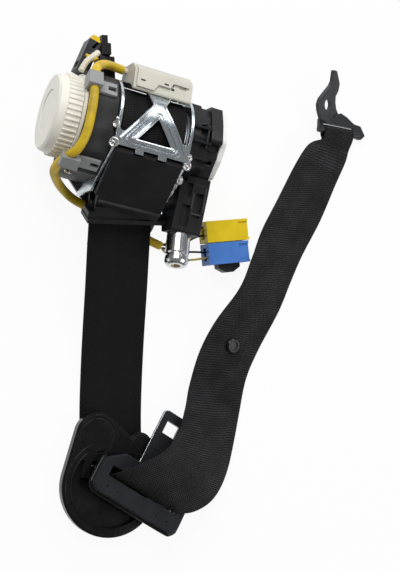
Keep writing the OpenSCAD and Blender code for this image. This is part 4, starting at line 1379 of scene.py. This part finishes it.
@dataclass
class BeltStrap:
    """The belt webbing from the spool to the sewn eye on the floor anchor.

    A station is a centre in millimetres and the way to the strap's right edge, in half
    widths.
    """

    width_mm: float = 47.0
    thick_mm: float = 1.2
    selvage_from: float = 0.97
    selvage_thin: float = 0.6
    columns: int = 22
    steps: int = 6
    spool_mm: Spot = (70.0, 37.0)
    wrap_mm: float = 31.7
    wrap_deg: Spot = (112.0, 133.0)
    stations: tuple[tuple[float, ...], ...] = (
        (0.5, 32, 44, 0.995, 0.1, 0), (1, 15, 28.6, 0.98, 0.2, 0), (4, 0, 23.4, 0.98, 0.2, 0),
        (12, -36, 15.5, 0.98, 0.2, 0), (22, -84, 6.5, 0.98, 0.2, 0),
        (31, -126, 1.4, 0.98, 0.2, 0), (37, -149, 1.1, 0.99, 0.1, 0),
        (42.2, -160, 1.7, 0.995, 0.02, 0), (45.5, -165, 7, 0.998, -0.04, 0),
        (49, -170, 12.6, 0.995, -0.14, 0), (54.5, -174.5, 13.8, 1.01, -0.26, 0),
        (58.5, -177, 19.5, 1.04, -0.37, 0), (63, -176, 26, 1.07, -0.45, 0),
        (71, -172, 30, 1.1, -0.52, 0), (82.5, -164.5, 30.5, 1.1, -0.53, -0.1),
        (93.5, -155, 25, 1.07, -0.48, -0.2), (102, -140, 17, 1.03, -0.43, -0.22),
        (106.5, -120, 9.5, 1.01, -0.34, -0.2), (108.5, -100, 4.5, 0.98, -0.27, -0.11),
        (110, -74, 5, 0.95, -0.27, -0.17), (116, -50, 7, 0.93, -0.28, -0.25),
        (127.5, -20, 9.6, 0.91, -0.17, -0.36), (133.2, 5, 9.4, 0.92, -0.14, -0.36),
        (138.6, 28, 8, 0.93, -0.17, -0.3), (148, 56, 6.8, 0.94, -0.11, -0.24),
        (156, 86, 7.2, 0.92, -0.05, -0.25), (161.5, 104, 8, 0.87, 0, -0.22),
        (164.5, 112, 8.2, 0.76, 0.06, -0.18),
    )
    anchor_mm: Point = (167.6, 124.8, 8.5)
    bar_along: Point = (0.9674, 0.1446, -0.2079)
    bar_ahead: Point = (-0.1478, 0.9890, 0.0)
    bar_up: Point = (0.2056, 0.0307, 0.9781)
    eye_mm: float = 3.4
    eye_half_mm: float = 14.4
    eye_from_deg: float = 112.0
    eye_step_deg: float = 28.0
    eye_count: int = 9
    eye_in_mm: tuple[Spot, ...] = ((-7.6, 0.7), (-4.4, 2.25))
    eye_out_mm: tuple[Spot, ...] = ((-4.4, -2.6), (-7.6, -1.9))
    ply_mm: float = 1.45
    ply_shares: tuple[float, ...] = (0.97, 0.96)
    tail_mm: Point = (-3.0, -9.0, -0.2)
    tail_share: float = 0.97

    def eye_rows(self) -> list[tuple[float, ...]]:
        """The stations of the sewn eye round the anchor's bar and of the ply sewn below.

        Returns:
            Rows of a centre and a width vector.
        """
        centre, ahead, up = Vector(self.anchor_mm), Vector(self.bar_ahead), Vector(self.bar_up)
        wide = Vector(self.bar_along) * (self.eye_half_mm / (self.width_mm / 2))
        flat = list(self.eye_in_mm)
        for step in range(self.eye_count):
            angle = math.radians(self.eye_from_deg - step * self.eye_step_deg)
            flat.append((self.eye_mm * math.cos(angle), self.eye_mm * math.sin(angle)))
        flat += self.eye_out_mm
        rows = [(*(centre + ahead * a + up * b), *wide) for a, b in flat]
        for row, share in zip(self.stations[::-1], self.ply_shares):
            x, y, z, *width = row
            rows.append((x, y, z - self.ply_mm, *(w * share for w in width)))
        dx, dy, dz = self.tail_mm
        x, y, z, *width = self.stations[-2]
        end = (x + dx, y + dy, z - self.ply_mm + dz)
        rows.append((*end, *(w * self.tail_share for w in width)))
        return rows

    def rows(self) -> list[tuple[float, ...]]:
        """All stations from the spool to the sewn end.

        Returns:
            Rows of a centre and a width vector.
        """
        first = []
        for degrees in self.wrap_deg:
            y = self.spool_mm[0] + self.wrap_mm * math.cos(math.radians(degrees))
            z = self.spool_mm[1] + self.wrap_mm * math.sin(math.radians(degrees))
            first.append((0.0, y, z, 1.0, 0.0, 0.0))
        return [*first, *self.stations, *self.eye_rows()]

    def half_thick(self, u: float) -> float:
        """Half the strap's thickness, in metres, less at the selvages.

        Args:
            u: the place across the strap, from -1 to 1.

        Returns:
            The half thickness.
        """
        full = self.thick_mm / 2 * MM
        return full if abs(u) < self.selvage_from else full * self.selvage_thin

    def build(self, finishes: Finishes) -> None:
        """Lays the strap.

        Args:
            finishes: the part's finishes.
        """
        samples = Route(self.rows(), self.steps).samples
        centres = [Vector(row[:3]) * MM for row in samples]
        wides = [Vector(row[3:]) * (self.width_mm / 2 * MM) for row in samples]
        last = len(samples) - 1
        ring = 2 * (self.columns + 1)
        verts: list[Vector] = []
        uv: list[Spot] = []
        run = 0.0
        for i, (centre, wide) in enumerate(zip(centres, wides)):
            run += (centre - centres[i - 1]).length if i else 0.0
            ahead = centres[min(i + 1, last)] - centres[max(i - 1, 0)]
            up = wide.cross(ahead).normalized()
            for side in (1, -1):
                for k in range(self.columns + 1):
                    u = side * (2 * k / self.columns - 1)
                    verts.append(centre + wide * u + up * (side * self.half_thick(u)))
                    uv.append((u * wide.length, run))
        eye = len(self.rows()) - len(self.eye_rows())
        sewn = uv[eye * self.steps * ring][1]
        uv = [(u, v - sewn) for u, v in uv]
        strap = mesh_piece("belt_webbing", verts, ring_faces(len(samples), ring))
        write_uv(strap, uv)
        Bench.smooth(strap, Bench.ROUND_SHARP_DEG)
        material = finishes.get("belt_weave")
        fit(strap, material, Body.RETRACTOR, ("webbing", "webbing_eye"))
        LOG.info("%s, %.0f mm long", strap.name, run / MM)


# Pressed and moulded details


@dataclass
class PlateBeads:
    """The ridges pressed round the lower window and along the arms of the front plate.

    A ring is a radius, a lift over the face, a corner radius and the corners.
    """

    axis_mm: Spot = (70.0, 37.0)
    shell_mm: float = 35.0
    step_mm: float = 1.2
    corner_steps: int = 10
    rings: tuple[tuple[float, float, float, tuple[Spot, ...]], ...] = (
        (1.45, 0.55, 4.4, ((-21.8, -14.8), (22.9, -14.8), (0.7, 16.2))),
        (0.85, 0.35, 3.2, ((-17.3, -12.7), (18.7, -12.7), (0.7, 12.1))),
    )
    arms: tuple[tuple[Spot, ...], ...] = (
        ((-24.2, -12.2), (-2.7, 17.4), (-8.2, 31.6)),
        ((24.2, -11.3), (4.4, 18.5), (13.6, 31.8)),
    )
    arm_radius_mm: float = 0.95
    arm_lift_mm: float = 0.1
    arm_passes: int = 6

    def on_plate(self, spot: Vector, lift: float) -> Vector:
        """A point above the plate's face, in metres.

        Args:
            spot: the place across and along the plate from the spool's axis.
            lift: the height over the face.

        Returns:
            The point.
        """
        x, y = spot
        reach = self.shell_mm + lift
        turn = math.asin(min(1.0, y / self.shell_mm)) if y > 0 else 0.0
        flat = y if y <= 0 else reach * math.sin(turn)
        rise = reach * math.cos(turn)
        return Vector((x, self.axis_mm[0] + flat, self.axis_mm[1] + rise)) * MM

    def stepped(self, line: Sequence[Vector], least: int) -> list[Vector]:
        """A line in short steps, without its last point.

        Args:
            line: the line's points.
            least: the fewest steps from one point to the next.

        Returns:
            The finer points.
        """
        out: list[Vector] = []
        for a, b in zip(line, line[1:]):
            count = max(least, round((b - a).length / self.step_mm))
            out += [a.lerp(b, k / count) for k in range(count)]
        return out

    def rounded(self, corners: Sequence[Spot], radius: float) -> list[Vector]:
        """A ring with rounded corners, in short steps.

        Args:
            corners: the corners, in millimetres.
            radius: the radius of each corner.

        Returns:
            The ring's points.
        """
        points = [Vector(c) for c in corners]
        ring: list[Vector] = []
        for i, here in enumerate(points):
            back = (points[i - 1] - here).normalized()
            ahead = (points[(i + 1) % len(points)] - here).normalized()
            half = back.angle(ahead) / 2
            centre = here + (back + ahead).normalized() * (radius / math.sin(half))
            first = here + back * (radius / math.tan(half)) - centre
            last = here + ahead * (radius / math.tan(half)) - centre
            steps = range(self.corner_steps + 1)
            ring += [centre + first.slerp(last, k / self.corner_steps) for k in steps]
        return self.stepped([*ring, ring[0]], 1)

    def eased(self, corners: Sequence[Spot]) -> list[Vector]:
        """An open line with eased bends, in short steps.

        Args:
            corners: its ends and bends, in millimetres.

        Returns:
            The line's points.
        """
        line = [Vector(c) for c in corners]
        fine = [*self.stepped(line, 2), line[-1]]
        for _ in range(self.arm_passes):
            middle = [(a + b * 2.0 + c) / 4.0 for a, b, c in zip(fine, fine[1:], fine[2:])]
            fine = [fine[0], *middle, fine[-1]]
        return fine

    def build(self, finishes: Finishes) -> None:
        """Presses the ridges.

        Args:
            finishes: the part's finishes.
        """
        beads = []
        for number, (radius, lift, corner, corners) in enumerate(self.rings):
            path = [self.on_plate(spot, lift) for spot in self.rounded(corners, corner)]
            beads.append(Bench.bead(f"plate_bead_{number}", path, radius, True))
        for number, arm in enumerate(self.arms):
            path = [self.on_plate(spot, self.arm_lift_mm) for spot in self.eased(arm)]
            beads.append(Bench.bead(f"arm_bead_{number}", path, self.arm_radius_mm, False))
        ridges = Bench.join("plate_beads", beads)
        # The ridges take the paler copy of the zinc: a painted highlight.
        fit(ridges, finishes.get("zinc_bead_highlit"), Body.RETRACTOR)


@dataclass
class LoopRims:
    """The raised rims on the face of the pillar loop, and a dark sill that closes the left end
    of its slot: painted shade.

    An arc is a centre, a reach, the angles of its two ends, a radius and a lift over the
    face.
    """

    at_mm: Point = (46.0, -165.0, 0.0)
    turn_deg: float = -2.0
    face_mm: float = 11.4
    step_deg: float = 4.0
    least_steps: int = 24
    arcs: tuple[tuple[float, float, float, float, float, float, float], ...] = (
        (-6.5, -12.5, 30.4, 140.0, 344.0, 0.75, -0.25),
        (-6.5, -12.5, 34.2, 128.0, 344.0, 0.6, -0.35),
        (8.0, 21.0, 6.6, 0.0, 360.0, 0.45, -0.3),
    )
    # A dark sill of painted shade that closes the left end of the loop's slot.
    slot_shade_at_mm: Point = (-21.0, -2.4, 3.5)
    slot_shade_size_mm: Point = (15.0, 2.9, 0.6)
    slot_shade_edge_mm: float = 0.25

    def build(self, finishes: Finishes) -> None:
        """Raises the rims and lays the dark sill of painted shade.

        Args:
            finishes: the part's finishes.
        """
        turn = Matrix.Rotation(math.radians(self.turn_deg), 4, "Z")
        place = Matrix.Translation(Vector(self.at_mm)) @ turn
        pieces = []
        for number, (x, y, reach, start, stop, radius, lift) in enumerate(self.arcs):
            sweep = stop - start
            closed = sweep >= 360.0
            count = max(self.least_steps, round(sweep / self.step_deg))
            path = []
            for k in range(count if closed else count + 1):
                a = math.radians(start + sweep * k / count)
                across, along = x + reach * math.cos(a), y + reach * math.sin(a)
                path.append((place @ Vector((across, along, self.face_mm + lift))) * MM)
            pieces.append(Bench.bead(f"loop_rim_{number}", path, radius, closed))
        centre = tuple(place @ Vector(self.slot_shade_at_mm))
        lie = (0.0, 0.0, self.turn_deg)
        pieces.append(
            Bench.block("loop_slot_shade", centre, self.slot_shade_size_mm, lie, self.slot_shade_edge_mm)
        )
        rims = Bench.join("loop_rims", pieces)
        fit(rims, finishes.get("gloss_moulding"), Body.LOOP)


@dataclass
class StakedBosses:
    """The staked ends of the side plates' tie bars and the crimped strip beside the guide.

    A stud is the middle of its foot, the way it stands, a radius and a length.
    """

    studs: tuple[tuple[Point, Point, float, float], ...] = (
        ((-26.0, 54.2, 67.8), (-0.45, -0.1, 0.9), 3.5, 4.2),
        ((-26.6, 66.6, 68.6), (-0.6, 0.0, 0.8), 2.7, 3.2),
        ((27.0, 57.2, 68.4), (0.5, 0.1, 0.86), 2.5, 3.4),
        ((26.6, 52.2, 66.8), (0.45, -0.15, 0.88), 3.5, 4.2),
        ((27.4, 43.6, 54.0), (0.5, -0.1, 0.86), 3.3, 4.0),
        ((-46.0, 69.8, 66.4), (-0.1, 0.0, 1.0), 2.1, 1.7),
    )
    crimp_mm: tuple[Point, ...] = (
        (28.2, 42.0, 54.2), (28.8, 39.6, 51.6), (28.0, 37.2, 49.8), (28.6, 34.9, 47.0),
        (27.4, 32.6, 45.2), (27.6, 30.2, 42.8), (26.6, 28.0, 41.6), (26.9, 25.6, 39.6),
        (26.3, 23.2, 38.6),
    )
    crimp_radius_mm: float = 1.5
    crimp_steps: int = 5

    def build(self, finishes: Finishes) -> None:
        """Stakes the bosses.

        Args:
            finishes: the part's finishes.
        """
        pieces = [
            Bench.stud(f"staked_boss_{number}", *stud) for number, stud in enumerate(self.studs)
        ]
        path = Route(self.crimp_mm, self.crimp_steps).points()
        pieces.append(Bench.bead("staked_strip", path, self.crimp_radius_mm, False))
        bosses = Bench.join("staked_bosses", pieces)
        fit(bosses, finishes.get("rivet_steel"), Body.RETRACTOR)


@dataclass
class HousingRibs:
    """Ribs moulded on the black housings and the lip of the webbing guide, paler than the
    housings as a painted highlight.

    A block is a centre, three sizes and its turn in degrees.
    """

    lip_mm: tuple[Point, Point] = ((-21.6, 17.5, 41.2), (25.0, 18.2, 41.2))
    lip_radius_mm: float = 1.3
    lip_steps: int = 12
    rib_edge_mm: float = 0.35
    blocks: tuple[tuple[Point, Point, Point], ...] = (
        ((44.0, 79.0, 57.0), (1.4, 17.0, 1.6), (0.0, 0.0, 0.0)),
        ((40.0, 88.0, 53.6), (7.0, 1.3, 1.6), (-35.0, 0.0, 18.0)),
        ((40.5, 62.0, 56.4), (7.5, 1.3, 1.6), (0.0, 0.0, -8.0)),
        ((54.6, 36.0, 46.0), (1.5, 18.0, 1.6), (0.0, 0.0, 0.0)),
        ((45.6, 33.0, 46.2), (1.3, 12.0, 1.2), (0.0, 0.0, 0.0)),
        ((49.8, 24.6, 45.6), (8.0, 1.3, 1.4), (0.0, 0.0, 0.0)),
    )

    def lip(self) -> bpy.types.Object:
        """The rounded lip along the upper edge of the guide's mouth.

        Returns:
            The lip.
        """
        left, right = (Vector(end) for end in self.lip_mm)
        steps = range(self.lip_steps + 1)
        path = [left.lerp(right, k / self.lip_steps) * MM for k in steps]
        return Bench.bead("mouth_lip", path, self.lip_radius_mm, False)

    def build(self, finishes: Finishes) -> None:
        """Moulds the ribs.

        Args:
            finishes: the part's finishes.
        """
        pieces = [self.lip()]
        for number, block in enumerate(self.blocks):
            pieces.append(Bench.block(f"housing_rib_{number}", *block, self.rib_edge_mm))
        ribs = Bench.join("housing_ribs", pieces)
        Bench.smooth(ribs)
        # The ribs and the lip take the paler grained moulding, not the housings' black: a
        # painted highlight.
        fit(ribs, finishes.get("grained_moulding"), Body.RETRACTOR)


@dataclass
class SmallMouldings:
    """Flaps and a shield on the connector holder, and dark blocks on the electronics box that
    stand for the shade in its slots.
    """

    flap_mm: tuple[Point, ...] = (
        (-51.2, 116.7, 36.8), (-46.6, 111.3, 36.8), (-40.9, 115.9, 36.8),
    )
    flap_rise_mm: Point = (-1.6, -1.0, 8.0)
    wedge_mm: tuple[Point, ...] = (
        (-48.8, 122.3, 34.4), (-44.9, 122.6, 34.4), (-41.6, 129.3, 34.4), (-43.4, 130.4, 34.4),
    )
    wedge_rise_mm: Point = (0.0, 0.0, 2.6)
    flap_edge_mm: float = 0.5
    shield_mm: tuple[Point, ...] = (
        (-41.1, 120.6, 33.6), (-39.5, 113.0, 33.6), (-26.0, 117.3, 33.6),
    )
    shield_rise_mm: Point = (0.0, 0.0, 4.0)
    shield_edge_mm: float = 0.6
    # Dark blocks of painted shade for the slots on the box lid, each a centre and three sizes.
    marks: tuple[tuple[Point, Point], ...] = (
        ((-12.9, 104.3, 61.15), (3.6, 1.3, 0.7)),
        ((4.7, 106.0, 60.8), (3.4, 1.3, 0.7)),
        ((10.2, 103.9, 59.65), (2.4, 2.0, 0.7)),
    )
    lid_shade_turn_deg: Point = (-12.7, 0.0, 0.0)
    lid_shade_edge_mm: float = 0.2

    def flaps(self) -> bpy.types.Object:
        """The yellow flap and wedge of the connector holder.

        Returns:
            The two as one piece.
        """
        flap = Bench.slab("holder_flap", self.flap_mm, self.flap_rise_mm, self.flap_edge_mm)
        wedge = Bench.slab(
            "holder_wedge", self.wedge_mm, self.wedge_rise_mm, self.flap_edge_mm
        )
        return Bench.join("holder_flaps", [flap, wedge])

    def shield(self) -> bpy.types.Object:
        """The black shield beside the plug.

        Returns:
            The shield.
        """
        return Bench.slab(
            "plug_shield", self.shield_mm, self.shield_rise_mm, self.shield_edge_mm
        )

    def lid_shade_blocks(self) -> bpy.types.Object:
        """Small dark blocks on the lid of the electronics box: painted shade where its slots
        are.

        Returns:
            The dark blocks as one piece.
        """
        pieces = []
        for number, lid_shade in enumerate(self.marks):
            pieces.append(
                Bench.block(f"lid_shade_block_{number}", *lid_shade, self.lid_shade_turn_deg, self.lid_shade_edge_mm)
            )
        marks = Bench.join("lid_shade_blocks", pieces)
        Bench.smooth(marks)
        return marks

    def build(self, finishes: Finishes) -> None:
        """Moulds the flaps and the shield and lays the dark blocks of painted shade.

        Args:
            finishes: the part's finishes.
        """
        for piece, finish, slot in (
            (self.flaps(), "yellow_moulding", Slot.YELLOW),
            (self.shield(), "black_moulding", Slot.BLACK),
            (self.lid_shade_blocks(), "dark_holder", Slot.BLACK),
        ):
            fit(piece, finishes.get(finish), Body.RETRACTOR)


@dataclass
class TongueTrim:
    """The bright cut edge of the tongue's blade, a dark lip that fills its slot with painted
    shade, and the grip's rim.
    """

    at_mm: Point = (59.0, -177.0, 19.5)
    turn_deg: float = -20.0
    tilt_deg: float = -9.0
    edge_mm: tuple[Spot, ...] = (
        (-20.5, 12.6), (-16.5, 14.4), (-12.6, 16.4), (-11.7, 17.6), (-11.5, 22.0),
        (-11.5, 40.0), (-11.5, 58.5), (-11.3, 60.6), (-10.2, 62.3), (-8.4, 63.0),
    )
    edge_high_mm: float = 1.25
    edge_radius_mm: float = 0.24
    # A dark lip that fills the strap's slot: painted shade where the floor would show.
    lip_mm: tuple[Point, ...] = (
        (2.0, -2.9, 0.6), (28.6, -2.9, 0.6), (28.6, -1.25, 0.6), (6.0, -1.25, 0.6),
    )
    shade_lip_high_mm: float = 2.8
    shade_lip_edge_mm: float = 0.35
    skirt_mm: tuple[Spot, ...] = (
        (-35.6, 9.4), (-36.9, 7.2), (-37.0, -10.0), (-36.2, -12.8), (-34.0, -15.2),
        (-31.0, -16.0), (-10.0, -16.2), (10.0, -16.2), (31.0, -16.0), (34.0, -15.2),
        (36.2, -12.8), (37.0, -10.0), (37.0, 4.0), (36.6, 7.4),
    )
    skirt_low_mm: float = -1.2
    skirt_radius_mm: float = 1.7
    skirt_steps: int = 4

    def skirt(self, place: Matrix) -> bpy.types.Object:
        """The round rim that stands out below the grip's face.

        Args:
            place: the tongue's place.

        Returns:
            The rim.
        """
        corners = [place @ Vector((x, y, self.skirt_low_mm)) for x, y in self.skirt_mm]
        path = Route(corners, self.skirt_steps).points()
        return Bench.bead("grip_skirt", path, self.skirt_radius_mm, False)

    def edge(self, place: Matrix) -> bpy.types.Object:
        """The bright line along the blade's cut edge.

        Args:
            place: the tongue's place.

        Returns:
            The line.
        """
        path = [(place @ Vector((x, y, self.edge_high_mm))) * MM for x, y in self.edge_mm]
        return Bench.bead("blade_edge", path, self.edge_radius_mm, False)

    def lip(self, place: Matrix) -> bpy.types.Object:
        """The moulded lip along the lower side of the strap's slot, built to fill the slot so
        that it shows dark: painted shade.

        Args:
            place: the tongue's place.

        Returns:
            The lip.
        """
        outline = [tuple(place @ Vector(corner)) for corner in self.lip_mm]
        rise = tuple(place.to_3x3() @ Vector((0.0, 0.0, self.shade_lip_high_mm)))
        return Bench.slab("slot_lip_shade", outline, rise, self.shade_lip_edge_mm)

    def build(self, finishes: Finishes) -> None:
        """Trims the tongue.

        Args:
            finishes: the part's finishes.
        """
        place = (
            Matrix.Translation(Vector(self.at_mm))
            @ Matrix.Rotation(math.radians(self.turn_deg), 4, "Z")
            @ Matrix.Rotation(math.radians(self.tilt_deg), 4, "X")
        )
        for piece, finish, slot in (
            (self.edge(place), "turned_steel", Slot.DARK),
            (self.lip(place), "grip_moulding", Slot.BLACK),
            (self.skirt(place), "gloss_moulding", Slot.BLACK),
        ):
            fit(piece, finishes.get(finish), Body.TONGUE)


# The whole part


@dataclass
class Dressing:
    """The finish of every rigid node of the frame."""

    finish_of: Mapping[str, tuple[str, ...]] = field(
        default_factory=lambda: {
            "zinc_plate": ("frame",),
            "rivet_steel": ("frame_rivets", "housing_screws"),
            "mount_plate": ("mounting_plate",),
            "black_moulding": (
                "lock_housing", "tensioner_housing", "webbing_guide", "plug_housing",
                "plug_lock", "plug_secondary_lock", "limiter_squib",
            ),
            "grained_moulding": ("left_housing",),
            "gloss_moulding": ("loop_cover", "loop_cap", "button_front", "button_back"),
            "grip_moulding": ("tongue_grip",),
            "dark_blade": ("tongue_plate",),
            "anchor_coat": ("floor_anchor",),
            "ivory_moulding": ("spring_cap", "spring_plate"),
            "white_moulding": ("lock_cover", "spool_bushes", "sensor_lever"),
            "cream_moulding": ("sensor_module", "module_lid", "inertia_pawl"),
            "cream_cable": ("harness_cable", "module_cable"),
            "grey_clip": ("clip_upper", "clip_lower", "control_disc", "sensor_cage"),
            "dark_holder": ("connector_holder",),
            "yellow_moulding": ("holder_insert",),
            "plug_yellow": ("yellow_plug",),
            "plug_blue": ("blue_plug",),
            "bright_can": ("gas_generator",),
            "contact_brass": ("igniter",),
            "cast_alloy": ("spool", "lock_base"),
            "roll_weave_shaded": ("webbing_roll",),
            "turned_steel": (
                "torsion_bar", "return_spring", "tensioner_tube",
                "limiter_ring", "spring_arbor", "lock_pawl", "sensor_ball", "drive_pinion",
                "piston_rack", "limiter_pawl", "loop_core",
            ),
        }
    )

    def dress(self, nodes: Mapping[str, bpy.types.Object], finishes: Finishes) -> None:
        """Gives each node its finish.

        Args:
            nodes: the frame's nodes.
            finishes: the part's finishes.
        """
        for finish, names in self.finish_of.items():
            for name in names:
                for slot in nodes[name].material_slots:
                    slot.material = finishes.get(finish)
            LOG.info("finish %s on %s", finish, ", ".join(names))


def main() -> None:
    """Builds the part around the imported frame."""
    logging.basicConfig(level=logging.INFO, format="%(name)s: %(message)s")
    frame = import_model()
    cad_low, cad_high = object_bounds()
    finishes = Finishes()
    Studio().build(cad_low[2])
    LeadWires().build(frame, finishes)
    for details in (
        HarnessSleeve(), BeltStrap(), PlateBeads(), LoopRims(), StakedBosses(),
        HousingRibs(), SmallMouldings(), TongueTrim(),
    ):
        details.build(finishes)
    Dressing().dress(frame["nodes"], finishes)


if __name__ == "__main__":
    main()
